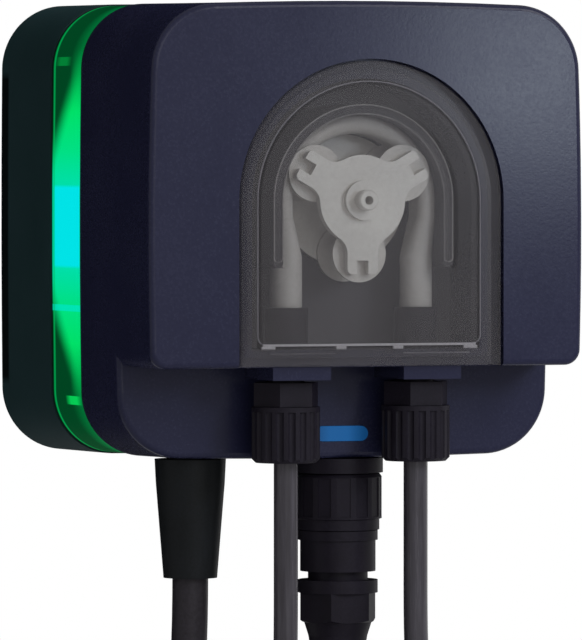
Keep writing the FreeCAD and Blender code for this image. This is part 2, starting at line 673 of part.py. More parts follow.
def make_front_shell():
    body = new_body("front_shell")
    wall = dim("wall")
    reach = dim("rear_half_width") + 10
    loft(body, [hull_section(body, ring_front), hull_section(body, face)])
    tray = sketch_on(body, "XZ_Plane", face)
    rectangle(tray, -reach, -reach, reach, reach)
    pocket(body, tray, dim("bulge_depth"))
    round_edges(body, dim("tray_fillet"), lambda edge: in_depth_plane(edge, tray_face))
    above = sketch_on(body, "XZ_Plane", tray_face)
    rectangle(above, -reach, bulge_z + dim("bulge_lap"), reach, reach)
    pocket(body, above, tray_face - ring_front)
    join = body.newObject("PartDesign::Boolean", "front_shell_join")
    join.setObjects([make_upper_front(reach)])
    join.Type = "Fuse"
    half_width, half_height = hull(face)
    hollow = hollow_section(body, ring_front, half_width, half_height, wall)
    pocket(body, hollow, partition_back - ring_front, forward=True)
    arcade = sketch_on(body, "XZ_Plane", partition_back)
    around_head(arcade, half_width - wall, half_height - wall, recess_radius + wall, rotor_z, bulge_z + wall)
    pocket(body, arcade, face - wall - partition_back, forward=True)
    pads = sketch_on(body, "XY_Plane", pad_bottom)
    half = dim("pad_width") / 2
    for side in (-1, 1):
        rectangle(pads, side * leg_x - half, -(face - 3.3), side * leg_x + half, -(tray_face - 2))
    pad(body, pads, dim("pad_height") + 1)
    recess = sketch_on(body, "XZ_Plane", face)
    arch(recess, recess_radius, rotor_z, bulge_z - 0.01)
    pocket(body, recess, dim("cover_rim") + 0.1)
    chamber = sketch_on(body, "XZ_Plane", face)
    arch(chamber, chamber_radius, rotor_z, chamber_bottom)
    pocket(body, chamber, face - base_back)
    opening = sketch_on(body, "XZ_Plane", base_back)
    circle(opening, 0, rotor_z, 2 * dim("shaft_radius"))
    pocket(body, opening, dim("partition"))
    necks = sketch_on(body, "XY_Plane", pad_bottom)
    for side in (-1, 1):
        circle(necks, side * leg_x, -tube_depth, dim("neck_radius") + 0.1)
    pocket(body, necks, chamber_bottom - pad_bottom, forward=True)
    for up, end in ((1, face - wall), (-1, partition_back)):
        columns = sketch_on(body, "XZ_Plane", ring_front)
        for side in (-1, 1):
            circle(columns, side * column_x, up * column_z, dim("column_radius"))
        pad(body, columns, end - ring_front)
    pilots = sketch_on(body, "XZ_Plane", ring_front)
    for x, z in corners(column_x, column_z):
        circle(pilots, x, z, dim("screw_radius"))
    pocket(body, pilots, 12, forward=True)
    exits = sketch_on(body, "XY_Plane", -dim("rear_half_height") - 1)
    circle(exits, dim("socket_x"), -socket_depth, dim("socket_neck") + 0.2)
    circle(exits, dim("boot_x"), -boot_depth, dim("boot_neck") + 0.1)
    pocket(body, exits, 2 * wall + 3, forward=True)
    bar = sketch_on(body, "XZ_Plane", tray_face, shift=(dim("bar_x"), bar_z))
    slot_outline(bar, dim("bar_half_width") + 0.1, dim("bar_half_height") + 0.1)
    pocket(body, bar, dim("bar_depth") - dim("bar_proud"))


def around_head(sketch, half_width, half_height, radius, centre, bottom):
    """The hollow beside and above the pump head: a block with an arch left standing in it."""
    over = sketch.addGeometry(arc(0, centre, radius, 0, math.pi), False)
    cut = dim("corner_radius") * 0.6
    left = -half_width - dim("housing_shift")
    right = half_width - dim("housing_shift")
    path = [(-radius, centre), (-radius, bottom), (left, bottom), (left, half_height - cut),
            (left + cut, half_height), (right - cut, half_height), (right, half_height - cut),
            (right, bottom), (radius, bottom), (radius, centre)]
    lines = []
    for start, end in zip(path, path[1:]):
        lines.append(sketch.addGeometry(Part.LineSegment(vector(*start), vector(*end)), False))
    sketch.addConstraint(Sketcher.Constraint("Coincident", over, 2, lines[0], 1))
    for before, after in zip(lines, lines[1:]):
        sketch.addConstraint(Sketcher.Constraint("Coincident", before, 2, after, 1))
    sketch.addConstraint(Sketcher.Constraint("Coincident", lines[-1], 2, over, 1))
    fix_point(sketch, over, 3, 0, centre)
    for line, point in zip(lines, path):
        fix_point(sketch, line, 1, *point)
    fix(sketch, "DistanceY", -1, 1, over, 1, to=centre)


def slot_outline(sketch, half_width, half_height):
    """A bar with round ends about the sketch's own origin."""
    half_width, half_height = size_of(half_width), size_of(half_height)
    straight = half_width - half_height
    right = sketch.addGeometry(arc(straight, 0, half_height, -math.pi / 2, math.pi / 2), False)
    top = sketch.addGeometry(Part.LineSegment(vector(straight, half_height), vector(-straight, half_height)), False)
    left = sketch.addGeometry(arc(-straight, 0, half_height, math.pi / 2, 3 * math.pi / 2), False)
    foot = sketch.addGeometry(Part.LineSegment(vector(-straight, -half_height), vector(straight, -half_height)), False)
    for join in ((right, 2, top, 1), (top, 2, left, 1), (left, 2, foot, 1), (foot, 2, right, 1)):
        sketch.addConstraint(Sketcher.Constraint("Tangent", *join))
    sketch.addConstraint(Sketcher.Constraint("Horizontal", top))
    fix_point(sketch, right, 3, straight, 0)
    fix_point(sketch, left, 3, -straight, 0)
    fix(sketch, "Radius", right, to=half_height)


def make_status_light():
    body = new_body("status_light")
    bar = sketch_on(body, "XZ_Plane", tray_face - dim("bar_depth") + dim("bar_proud"), shift=(dim("bar_x"), bar_z))
    slot_outline(bar, dim("bar_half_width"), dim("bar_half_height"))
    pad(body, bar, dim("bar_depth"))


def make_housing_screws():
    length = ring_front + 10 - (shell_floor - 2)
    screws = []
    for x, z in corners(column_x, column_z):
        start = FreeCAD.Vector(x.value, -(shell_floor.value - 3), z.value)
        shank = Part.makeCylinder(dim("screw_radius").value, length.value, start, FreeCAD.Vector(0, -1, 0))
        head = Part.makeCylinder(2 * dim("screw_radius").value, 2, start, FreeCAD.Vector(0, -1, 0))
        recess = Part.makeCylinder(0.55 * dim("screw_radius").value, 1.2, start, FreeCAD.Vector(0, -1, 0))
        screws.append(shank.fuse(head).cut(recess))
    loose_shape("housing_screws", Part.makeCompound(screws))


# Inside the housing

def make_main_board():
    body = new_body("main_board")
    outline = sketch_on(body, "XZ_Plane", dim("board_depth"))
    rounded_rectangle(outline, board_half_width, dim("board_half_height"), 2)
    pad(body, outline, dim("board_thickness"))
    holes = sketch_on(body, "XZ_Plane", dim("board_depth") + dim("board_thickness"))
    for x, z in corners(post_x, post_z):
        circle(holes, x, z, dim("board_post_radius") - 1.4)
    pocket(body, holes, dim("board_thickness"))


def make_block(label, left, bottom, width, height, start, length, edge):
    """A moulded block on the main board with eased upright edges."""
    body = new_body(label)
    outline = sketch_on(body, "XZ_Plane", start)
    rectangle(outline, left, bottom, left + width, bottom + height)
    pad(body, outline, length)
    front = size_of(start).value + size_of(length).value
    round_edges(body, edge, lambda e: in_depth_plane(e, front), kind="Chamfer")


def make_terminal_block(board_front):
    body = new_body("terminal_block")
    width = dim("terminal_width")
    height = dim("terminal_height")
    right = board_half_width - 6
    bottom = 1 - dim("board_half_height")
    outline = sketch_on(body, "XZ_Plane", board_front)
    rectangle(outline, right - width, bottom, right, bottom + height)
    pad(body, outline, dim("terminal_depth"))
    ways = sketch_on(body, "XZ_Plane", board_front + dim("terminal_depth"))
    for number in (-1, 0, 1):
        circle(ways, right - width / 2 + number * width / 3, bottom + height / 2, height / 4)
    pocket(body, ways, dim("terminal_depth") / 3)


def make_gearmotor():
    gearbox = new_body("gearbox", (0, -partition_back, rotor_z))
    outline = sketch_on(gearbox, "XZ_Plane")
    circle(outline, 0, 0, dim("gearbox_radius"))
    pad(gearbox, outline, dim("gearbox_length"), back=True)
    boss = sketch_on(gearbox, "XZ_Plane")
    circle(boss, 0, 0, 2 * dim("shaft_radius") - 0.2)
    pad(gearbox, boss, dim("partition") - 0.2)
    bore = sketch_on(gearbox, "XZ_Plane", dim("partition") - 0.2)
    circle(bore, 0, 0, dim("shaft_radius") + dim("shaft_clearance"))
    pocket(gearbox, bore, 12)
    motor_front = partition_back - dim("gearbox_length")
    motor = new_body("motor", (0, -motor_front, rotor_z))
    can = sketch_on(motor, "XZ_Plane")
    circle(can, 0, 0, dim("motor_radius"))
    pad(motor, can, dim("motor_length"), back=True)
    round_edges(motor, 1.5, lambda edge: near(edge.BoundBox.YMin, dim("motor_length"))
                and near(edge.BoundBox.YMax, dim("motor_length")))
    cap = sketch_on(motor, "XZ_Plane", -dim("motor_length"))
    circle(cap, 0, 0, dim("motor_radius") / 2)
    pad(motor, cap, 2, back=True)


# Pump head

def make_pump_head_base():
    body = new_body("pump_head_base")
    plate = sketch_on(body, "XZ_Plane", base_back)
    arch(plate, chamber_radius - 0.3, rotor_z, chamber_bottom + 0.3)
    pad(body, plate, dim("base_thickness"))
    track = sketch_on(body, "XZ_Plane", floor_face)
    horseshoe(track, dim("race_radius"), dim("race_radius") + dim("race_wall"), rotor_z, rotor_z - dim("race_leg"))
    pad(body, track, face - dim("plug_length") - 0.4 - floor_face)
    opening = sketch_on(body, "XZ_Plane", floor_face)
    circle(opening, 0, rotor_z, dim("shaft_radius") + 0.4)
    pocket(body, opening, dim("base_thickness"))


def arm_outline(sketch, reach):
    half = dim("arm_width") / 2
    rectangle(sketch, -half, -reach, half, 0)


def make_roller_carrier():
    """The front plate with three forked arms, its hub ring and the core behind it."""
    body = new_body("roller_carrier", (0, -carrier_back, rotor_z))
    plate = dim("carrier_plate")
    disc = sketch_on(body, "XZ_Plane")
    circle(disc, 0, 0, dim("carrier_disc"))
    pad(body, disc, plate)
    arm = sketch_on(body, "XZ_Plane")
    arm_outline(arm, dim("arm_reach"))
    polar(body, pad(body, arm, plate), 3, "Y_Axis")
    disc_radius = dim("carrier_disc").value
    half_arm = dim("arm_width").value / 2

    def arm_root(edge):
        middle = edge.CenterOfMass
        return near(edge.BoundBox.YLength, plate) and near(math.hypot(middle.x, middle.z), disc_radius, 0.1)
    round_edges(body, dim("arm_fillet"), arm_root)
    tip_radius = math.hypot(half_arm, dim("arm_reach").value)

    def arm_tip(edge):
        middle = edge.CenterOfMass
        return near(edge.BoundBox.YLength, plate) and near(math.hypot(middle.x, middle.z), tip_radius, 0.1)
    round_edges(body, 1.2, arm_tip)
    slot = sketch_on(body, "XZ_Plane", plate)
    half_slot = dim("arm_slot") / 2
    rectangle(slot, -half_slot, -dim("arm_reach") - 1, half_slot, dim("arm_slot_depth") - dim("arm_reach"))
    polar(body, pocket(body, slot, plate), 3, "Y_Axis")
    hub = sketch_on(body, "XZ_Plane", plate)
    circle(hub, 0, 0, dim("hub_radius"))
    pad(body, hub, dim("hub_proud"))
    core = sketch_on(body, "XZ_Plane")
    circle(core, 0, 0, dim("core_radius"))
    pad(body, core, dim("roller_length") + 2 * dim("roller_side_gap"), back=True)
    bore = sketch_on(body, "XZ_Plane", plate + dim("hub_proud"))
    circle(bore, 0, 0, dim("shaft_radius"))
    pocket(body, bore, dim("roller_length") + 2 * plate + 5)
    pins = sketch_on(body, "XZ_Plane")
    circle(pins, 0, -dim("roller_circle"), dim("pin_radius"))
    polar(body, pocket(body, pins, 1.2, forward=True), 3, "Y_Axis")


def make_carrier_rear_plate():
    rear_front = roller_back - dim("roller_side_gap")
    body = new_body("carrier_rear_plate", (0, -rear_front, rotor_z))
    disc = sketch_on(body, "XZ_Plane")
    circle(disc, 0, 0, dim("roller_circle") + 3)
    pad(body, disc, dim("carrier_plate") - 0.2, back=True)
    bore = sketch_on(body, "XZ_Plane")
    circle(bore, 0, 0, dim("shaft_radius"))
    pocket(body, bore, dim("carrier_plate"))
    pins = sketch_on(body, "XZ_Plane")
    circle(pins, 0, -dim("roller_circle"), dim("pin_radius"))
    polar(body, pocket(body, pins, dim("carrier_plate")), 3, "Y_Axis")


def roller_centres():
    """Rollers at 270, 30 and 150 degrees round the rotor axis."""
    reach = dim("roller_circle").value
    centres = []
    for degrees in (270, 30, 150):
        angle = math.radians(degrees)
        centres.append((reach * math.cos(angle), rotor_z.value + reach * math.sin(angle)))
    return centres


def make_roller_pins():
    front = carrier_back + 1.1
    rear = roller_back - dim("roller_side_gap") - (dim("carrier_plate") - 0.2)
    pins = []
    for x, z in roller_centres():
        start = FreeCAD.Vector(x, -rear.value, z)
        pins.append(Part.makeCylinder(dim("pin_radius").value, (front - rear).value, start, FreeCAD.Vector(0, -1, 0)))
    loose_shape("roller_pins", Part.makeCompound(pins))


def make_rollers():
    turns = {"roller_1": (0, -1), "roller_2": (0.8660254038, 0.5), "roller_3": (-0.8660254038, 0.5)}
    half = dim("roller_length") / 2
    flange = dim("roller_flange_wall")
    for label, (across, up) in turns.items():
        at = (across * dim("roller_circle"), -tube_depth, rotor_z + up * dim("roller_circle"))
        body = new_body(label, at)
        outline = sketch_on(body, "XY_Plane")
        bore = dim("pin_radius") + dim("pin_clearance")
        outer = dim("roller_flange")
        polygon(outline, [(bore, -half), (outer, -half), (outer, flange - half), (roller_core, flange - half),
                          (roller_core, half - flange), (outer, half - flange), (outer, half), (bore, half)])
        feature = profile_feature(body, "Revolution", outline)
        feature.ReferenceAxis = (outline, ["V_Axis"])
        feature.Angle = 360


def make_output_shaft():
    body = new_body("output_shaft", (0, -carrier_front, rotor_z))
    outline = sketch_on(body, "XZ_Plane", dim("shaft_proud"))
    circle(outline, 0, 0, dim("shaft_radius"))
    back = carrier_front - partition_back + 8 + dim("shaft_proud")
    pad(body, outline, back, back=True)
    centre = sketch_on(body, "XZ_Plane", dim("shaft_proud"))
    circle(centre, 0, 0, 1.1)
    pocket(body, centre, 5)
    front = -dim("shaft_proud").value
    round_edges(body, 0.4, lambda edge: near(edge.BoundBox.YMin, front) and near(edge.BoundBox.YMax, front)
                and edge.BoundBox.XLength > 4, kind="Chamfer")


def flat_section(centre_x, z, thickness, width):
    """The squeezed tube's section in a level plane: a bar with round ends, long front to back."""
    depth = tube_depth.value
    half = (width - thickness) / 2
    radius = thickness / 2
    corners_at = [(-radius, -half), (-radius, half), (radius, half), (radius, -half)]
    points = [FreeCAD.Vector(centre_x + x, -depth + y, z) for x, y in corners_at]
    front = FreeCAD.Vector(centre_x, -depth - half - radius, z)
    back = FreeCAD.Vector(centre_x, -depth + half + radius, z)
    edges = [Part.LineSegment(points[0], points[1]), Part.Arc(points[1], back, points[2]),
             Part.LineSegment(points[2], points[3]), Part.Arc(points[3], front, points[0])]
    return Part.Wire([edge.toShape() for edge in edges])


def make_pump_tube():
    """The tube lies squeezed between rollers and track, and grows round towards its two ends."""
    middle = (dim("race_radius") - squeezed / 2).value
    thickness = squeezed.value
    width = dim("tube_flat_width").value
    axis_z = rotor_z.value
    straight = 4.0
    round_z = axis_z - 14.0
    section = Part.Face(flat_section(middle, axis_z, thickness, width))
    depth = tube_depth.value
    shape = section.revolve(FreeCAD.Vector(0, -depth, axis_z), FreeCAD.Vector(0, -1, 0), 180)
    for side in (-1, 1):
        leg = Part.Face(flat_section(side * middle, axis_z, thickness, width))
        shape = shape.fuse(leg.extrude(FreeCAD.Vector(0, 0, -straight)))
        lower = flat_section(side * middle, axis_z - straight, thickness, width)
        radius = dim("tube_radius").value
        end = flat_section(side * leg_x.value, round_z, 2 * radius - 0.02, 2 * radius)
        shape = shape.fuse(Part.makeLoft([lower, end], True, True))
        shape = shape.fuse(Part.Face(end).extrude(FreeCAD.Vector(0, 0, tube_end_z.value - round_z)))
        start = FreeCAD.Vector(side * leg_x.value, -depth, tube_end_z.value)
        bore = Part.makeCylinder(radius - dim("tube_wall").value, 11, start)
        shape = shape.cut(bore)
    loose_shape("pump_tube", shape)


def make_clear_cover():
    body = new_body("clear_cover")
    radius = dim("cover_radius")
    block = sketch_on(body, "XZ_Plane", face - dim("cover_rim"))
    arch(block, radius, rotor_z, cover_bottom)
    pad(body, block, dim("cover_rim"))
    hollow = sketch_on(body, "XZ_Plane", face - dim("cover_rim"))
    arch(hollow, radius - dim("cover_rim_wall"), rotor_z, cover_bottom + dim("cover_rim_wall"))
    pocket(body, hollow, dim("cover_rim") - dim("cover_plate"), forward=True)
    rib_bottom = chamber_bottom + dim("chamber_clearance")
    back = face - dim("plug_length")
    plug = sketch_on(body, "XZ_Plane", back)
    arch(plug, rib_outer, rotor_z, rib_bottom)
    arch(plug, rib_outer - dim("plug_rib"), rotor_z, rib_bottom + dim("plug_rib"))
    pad(body, plug, dim("plug_length") - dim("cover_plate"))
    inner = dim("race_radius") - dim("rib_setback")
    rib = sketch_on(body, "XZ_Plane", back)
    horseshoe(rib, inner, inner + dim("race_wall"), rotor_z, rotor_z - dim("race_leg"))
    pad(body, rib, dim("plug_length") - dim("cover_plate"))
    front = face.value
    round_edges(body, 0.8, lambda edge: in_depth_plane(edge, front) and edge.BoundBox.DiagonalLength > 8)


# Hose fittings and nuts

def hexagon(sketch, flats):
    """A hexagon about the sketch's origin with two flats to the front and back."""
    half = size_of(flats) / 2
    far = half * 1.154700538
    near_x = far / 2
    polygon(sketch, [(near_x, -half), (far, 0), (near_x, half), (-near_x, half), (-far, 0), (-near_x, -half)])


def make_fitting(label, side):
    """Barb into the pump tube, neck through the housing, six-sided collar and thread."""
    body = new_body(label, (side * leg_x, -tube_depth, 0))
    bore = dim("tube_radius") - dim("tube_wall")
    thread_end = collar_bottom - 8.5
    seat = collar_bottom - 2
    turned(body, [(0, seat), (0, tube_end_z + 9), (bore - 0.3, tube_end_z + 9), (bore, tube_end_z + 7),
                  (bore, tube_end_z - 0.1), (dim("neck_radius") + 0.9, tube_end_z - 0.1),
                  (dim("neck_radius") + 0.9, chamber_bottom + 0.05), (dim("neck_radius"), chamber_bottom + 0.05),
                  (dim("neck_radius"), collar_bottom), (dim("thread_radius"), collar_bottom),
                  (dim("thread_radius"), thread_end), (dim("hose_radius") + 0.05, thread_end),
                  (dim("hose_radius") + 0.05, seat)])
    collar = sketch_on(body, "XY_Plane", collar_bottom)
    hexagon(collar, dim("collar_flats"))
    pad(body, collar, dim("collar_height"))


def make_hose_nut(label, side):
    """A fluted compression nut with an eased foot."""
    top = collar_bottom - 0.1
    body = new_body(label, (side * leg_x, -tube_depth, top))
    outer = dim("nut_radius")
    foot = -dim("nut_height")
    inner = dim("thread_radius") + dim("thread_clearance")
    hose = dim("hose_radius") + 0.1
    turned(body, [(inner, 0), (outer, 0), (outer, foot + 1), (outer - 1, foot), (hose, foot),
                  (hose, foot + dim("nut_floor")), (inner, foot + dim("nut_floor"))])
    flute = sketch_on(body, "XY_Plane", -1.2)
    circle(flute, outer + 0.35, 0, dim("flute_radius"))
    polar(body, pocket(body, flute, dim("nut_height")), 18, "Z_Axis")


# Circular connector with its cable gland

def make_connector():
    x = dim("socket_x")
    y = -socket_depth
    top = -hull(socket_depth - dim("socket_radius"))[1] - 0.05
    flange = dim("socket_flange")
    neck = dim("socket_neck")
    barrel = dim("coupling_radius") - 3
    barrel_end = -flange - dim("coupling_height") + 2.1
    socket = new_body("connector_socket", (x, y, top))
    turned(socket, [(0, 6), (neck, 6), (neck, 0), (dim("socket_radius"), 0), (dim("socket_radius"), -flange),
                    (barrel, -flange), (barrel, barrel_end), (0, barrel_end)])
    ring_top = top - flange - 0.3
    ring = new_body("coupling_ring", (x, y, ring_top))
    outer = dim("coupling_radius")
    inner = outer - 2.9
    height = dim("coupling_height")
    turned(ring, [(inner, 0), (outer - 0.5, 0), (outer, -0.8), (outer, -height), (outer - 0.6, -height - 0.2),
                  (outer - 0.6, -height - 2.8), (inner, -height - 2.8)])
    grip = sketch_on(ring, "XY_Plane", -0.9)
    rectangle(grip, outer - 0.35, -1.7, outer + 1, 1.7)
    polar(ring, pocket(ring, grip, height - 1.4), 14, "Z_Axis")
    shell_top = ring_top - height - 3
    shell = new_body("connector_body", (x, y, shell_top))
    radius = dim("plug_shell_radius")
    turned(shell, [(0, 4), (inner - 0.6, 4), (inner - 0.6, 0), (radius + 0.55, 0), (radius + 0.55, -2.4),
                   (radius, -2.4), (radius, -10.2), (7.5, -10.2), (7.5, -18), (4.4, -18), (4.4, -4), (0, -4)])
    for side in (-1, 1):
        flat = sketch_on(shell, "XY_Plane", -3)
        rectangle(flat, -12, side * (radius + 1) - 1.7, 12, side * (radius + 1) + 0.3)
        pocket(shell, flat, 7.2)
    nut_top = shell_top - 12.4
    nut = new_body("gland_nut", (x, y, nut_top))
    half = dim("gland_flats") / 2
    outline = sketch_on(nut, "XY_Plane", -10.6)
    hexagon(outline, dim("gland_flats"))
    pad(nut, outline, 7.5)
    turned(nut, [(0, 0), (radius + 0.55, 0), (radius + 0.55, -3.2), (0, -3.2)])
    turned(nut, [(0, -10.5), (half - 0.2, -10.5), (7.4, -14), (6.9, -17), (5.6, -17.6), (0, -17.6)])
    turned(nut, [(0, 1), (7.6, 1), (7.6, -7), (4.9, -8.5), (4.9, -20), (0, -20)], groove=True)
    beyond = half * 1.1547 + 1
    turned(nut, [(half - 0.1, -10.7), (beyond, -10.7), (beyond, -9.4)], groove=True)
    seal = new_body("gland_seal", (x, y, nut_top - 17))
    turned(seal, [(dim("gland_bore"), 0), (4.85, 0), (4.85, 11.3), (4.3, 11.3), (dim("gland_bore"), 9)])


# Mains lead and hoses

def rounded_path(points):
    """Straight runs through the points, joined by arcs as large as the shorter run allows."""
    nodes = [FreeCAD.Vector(*point) for point in points]
    edges = []
    start = nodes[0]
    for before, corner, after in zip(nodes, nodes[1:], nodes[2:]):
        back = before - corner
        ahead = after - corner
        shorter = min(back.Length, ahead.Length)
        turn = math.pi - back.getAngle(ahead)
        setback = 0.45 * shorter
        radius = setback / math.tan(turn / 2)
        back.normalize()
        ahead.normalize()
        first = corner + back * setback
        last = corner + ahead * setback
        inward = back + ahead
        inward.normalize()
        apex = corner + inward * (radius / math.cos(turn / 2) - radius)
        edges.append(Part.LineSegment(start, first).toShape())
        edges.append(Part.Arc(first, apex, last).toShape())
        start = last
    edges.append(Part.LineSegment(start, nodes[-1]).toShape())
    return Part.Wire(edges)


def swept_tube(points, radius):
    path = rounded_path(points)
    start = FreeCAD.Vector(*points[0])
    direction = FreeCAD.Vector(*points[1]) - start
    ring = Part.Wire([Part.Circle(start, direction, radius).toShape()])
    tube = path.makePipeShell([ring], True, True)
    expected = math.pi * radius ** 2 * path.Length
    if abs(tube.Volume - expected) > 0.02 * expected:
        raise ValueError("a tube's volume differs from its section times its length")
    return tube


def upright_coil(centre, radius, bundle):
    """The outer shape of a coil that hangs in an upright plane across the wall's normal."""
    return Part.makeTorus(radius, bundle, FreeCAD.Vector(*centre), FreeCAD.Vector(0, 1, 0))


def outside_of(tube, coil, place):
    """What is left of the tube outside the coil, on the side of the given place."""
    left = tube.cut(coil).Solids
    target = Part.Vertex(FreeCAD.Vector(*place))
    return min(left, key=lambda solid: solid.distToShape(target)[0])


def make_cord(label, run, tail, radius, coil_centre, coil_radius, bundle):
    """A cord in three solids: the run from the pump, the coil, and the tail to its end piece."""
    coil = upright_coil(coil_centre, coil_radius, bundle)
    loose_shape(label + "_run", outside_of(swept_tube(run, radius), coil, run[0]))
    loose_shape(label + "_coil", coil)
    loose_shape(label + "_tail", outside_of(swept_tube(tail, radius), coil, tail[-1]))


# Places along the cords: across, behind the cord's own upright plane, and up. The lead's coil
# hangs behind the hoses and behind the way of a cable into the gland.
LEAD_COIL_AT = (-9.0, -192.0)
LEAD_RUN = [(-34.0, -14.4, -84.0), (-34.0, -14.4, -106.0), (-36.0, -13.0, -122.0), (-46.0, -11.5, -138.0),
            (-61.0, -8.0, -154.0), (-65.3, -4.8, -174.0), (-65.3, -4.6, -192.0)]
LEAD_TAIL = [(-65.3, 4.6, -192.0), (-65.3, 4.4, -208.0), (-63.0, 3.0, -226.0), (-58.0, 0.0, -244.0),
             (-58.0, 0.0, -262.0)]
HOSE_RUN = [(17.2, 0.0, -104.0), (18.4, -1.2, -128.0), (20.4, -3.0, -150.0), (20.6, -3.2, -168.0)]
HOSE_TAIL = [(20.6, 3.0, -172.0), (20.8, 2.6, -188.0), (22.0, 0.0, -206.0), (22.0, 0.0, -224.0)]
HOSE_COIL_OUT = 62.0
HOSE_COIL_DOWN = -170.0
lead_depth = boot_depth - dim("lead_behind")


def along(points, depth, side=1):
    return [(side * x, behind - depth.value, z) for x, behind, z in points]


def make_cords():
    lead = dim("lead_radius").value
    coil_at = (LEAD_COIL_AT[0], -lead_depth.value, LEAD_COIL_AT[1])
    make_cord("mains_lead", along(LEAD_RUN, lead_depth), along(LEAD_TAIL, lead_depth), lead, coil_at,
              dim("lead_coil").value, dim("lead_bundle").value)
    hose = dim("hose_radius").value
    top = [(leg_x.value, 0.0, (collar_bottom - 2.1).value)]
    for label, side in (("suction_hose", -1), ("delivery_hose", 1)):
        coil_at = (side * HOSE_COIL_OUT, -tube_depth.value - 0.1, HOSE_COIL_DOWN)
        make_cord(label, along(top + HOSE_RUN, tube_depth, side), along(HOSE_TAIL, tube_depth, side), hose,
                  coil_at, dim("hose_coil").value, dim("hose_bundle").value)


def make_boot():
    body = new_body("strain_relief_boot", (dim("boot_x"), -boot_depth, 0))
    top = -hull(boot_depth - dim("boot_top_radius"))[1] - 0.05
    wide = dim("boot_top_radius")
    end = dim("boot_end_radius")
    bore = dim("lead_radius") + 0.1
    foot = top - dim("boot_length")
    neck = dim("boot_neck")
    turned(body, [(bore, top + 6), (neck, top + 6), (neck, top), (wide, top), (wide - 0.3, top - 6),
                  (end, foot), (bore, foot)])


def make_plug():
    x, y, z = along(LEAD_TAIL, lead_depth)[-1]
    body = new_body("mains_plug", (x, -lead_depth, z))
    bore = dim("lead_radius") + 0.1
    sleeve = 24
    face_z = -sleeve - dim("plug_body") + 8
    radius = dim("plug_radius")
    turned(body, [(bore, 8), (bore + 1.6, 8), (bore + 3.2, -sleeve + 6), (radius - 6, -sleeve), (radius, -sleeve - 9),
                  (radius, face_z), (0, face_z), (0, 0), (bore, 0)])
    prongs = []
    for side in (-1, 1):
        start = FreeCAD.Vector(x + side * dim("prong_pitch").value / 2, y, z + face_z.value)
        prong = Part.makeCylinder(dim("prong_radius").value, dim("prong_length").value, start, FreeCAD.Vector(0, 0, -1))
        prongs.append(prong)
    loose_shape("plug_pins", Part.makeCompound(prongs))


def make_foot_filter():
    out, _, down = HOSE_TAIL[-1]
    at = (-out, -tube_depth, down)
    hose = dim("hose_radius") + 0.1
    radius = dim("filter_radius")
    body = new_body("foot_filter", at)
    turned(body, [(hose, 10), (hose + 2, 10), (hose + 2.4, 0), (radius, -2), (radius, -34), (radius - 1.5, -36),
                  (0, -36), (0, -2), (hose, -2)])
    slot = sketch_on(body, "XY_Plane", -14)
    rectangle(slot, radius - 1.5, -0.8, radius + 1, 0.8)
    polar(body, pocket(body, slot, 18), 12, "Z_Axis")
    nut = new_body("foot_filter_nut", at)
    turned(nut, [(hose + 2.5, 8), (radius - 1, 8), (radius, 7), (radius, 0), (radius, -1.8), (hose + 2.6, 0.1)])


def make_injection_valve():
    out, _, down = HOSE_TAIL[-1]
    at = (out, -tube_depth, down)
    hose = dim("hose_radius") + 0.1
    radius = dim("valve_radius")
    body = new_body("injection_valve", at)
    turned(body, [(hose, 10), (hose + 2, 10), (hose + 2.4, 0), (radius, -2), (radius, -10), (radius - 1.4, -10),
                  (radius - 1.4, -24), (3, -24), (3, -40), (0, -40), (0, -2), (hose, -2)])
    outline = sketch_on(body, "XY_Plane", -9)
    hexagon(outline, 2 * radius + 1)
    pad(body, outline, 6)
    nut = new_body("injection_valve_nut", at)
    turned(nut, [(hose + 2.5, 8), (radius - 1, 8), (radius, 7), (radius, 0), (radius, -1.8), (hose + 2.6, 0.1)])


make_wall_bracket()
make_rear_shell()
make_light_ring()
make_led_strip()
make_front_shell()
make_status_light()
make_housing_screws()
make_main_board()
board_front = dim("board_depth") + dim("board_thickness")
make_block("power_module", 2 - board_half_width, 4 - dim("board_half_height"), dim("module_width"),
           dim("module_height"), board_front, dim("module_depth"), 1)
make_block("relay", board_half_width - 4 - dim("relay_width"), 16 - dim("board_half_height"),
           dim("relay_width"), dim("relay_height"), board_front, dim("relay_depth"), 0.6)
make_terminal_block(board_front)
make_gearmotor()
make_pump_head_base()
make_roller_carrier()
make_carrier_rear_plate()
make_roller_pins()
make_rollers()
make_output_shaft()
make_pump_tube()
make_clear_cover()
make_fitting("suction_fitting", -1)
make_fitting("delivery_fitting", 1)
make_hose_nut("suction_nut", -1)
make_hose_nut("delivery_nut", 1)
make_connector()
make_boot()
make_cords()
make_plug()
make_foot_filter()
make_injection_valve()

doc.recompute()
for thing in doc.Objects:
    faults = [state for state in thing.State if state in ("Invalid", "Error")]
    if faults:
        raise RuntimeError("%s is %s" % (thing.Label, faults))
for node in NODES:
    if node.Shape.isNull() or not node.Shape.isValid():
        raise RuntimeError("%s has no valid shape" % node.Label)

os.makedirs("parts", exist_ok=True)
for node in NODES:
    node.Shape.exportStep("parts/%s.step" % node.Label)
    print("%-22s %2d solids %10.1f mm3" % (node.Label, len(node.Shape.Solids), node.Shape.Volume))
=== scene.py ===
# Peristaltic dosing pump: camera, cords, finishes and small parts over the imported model, in metres.
import math

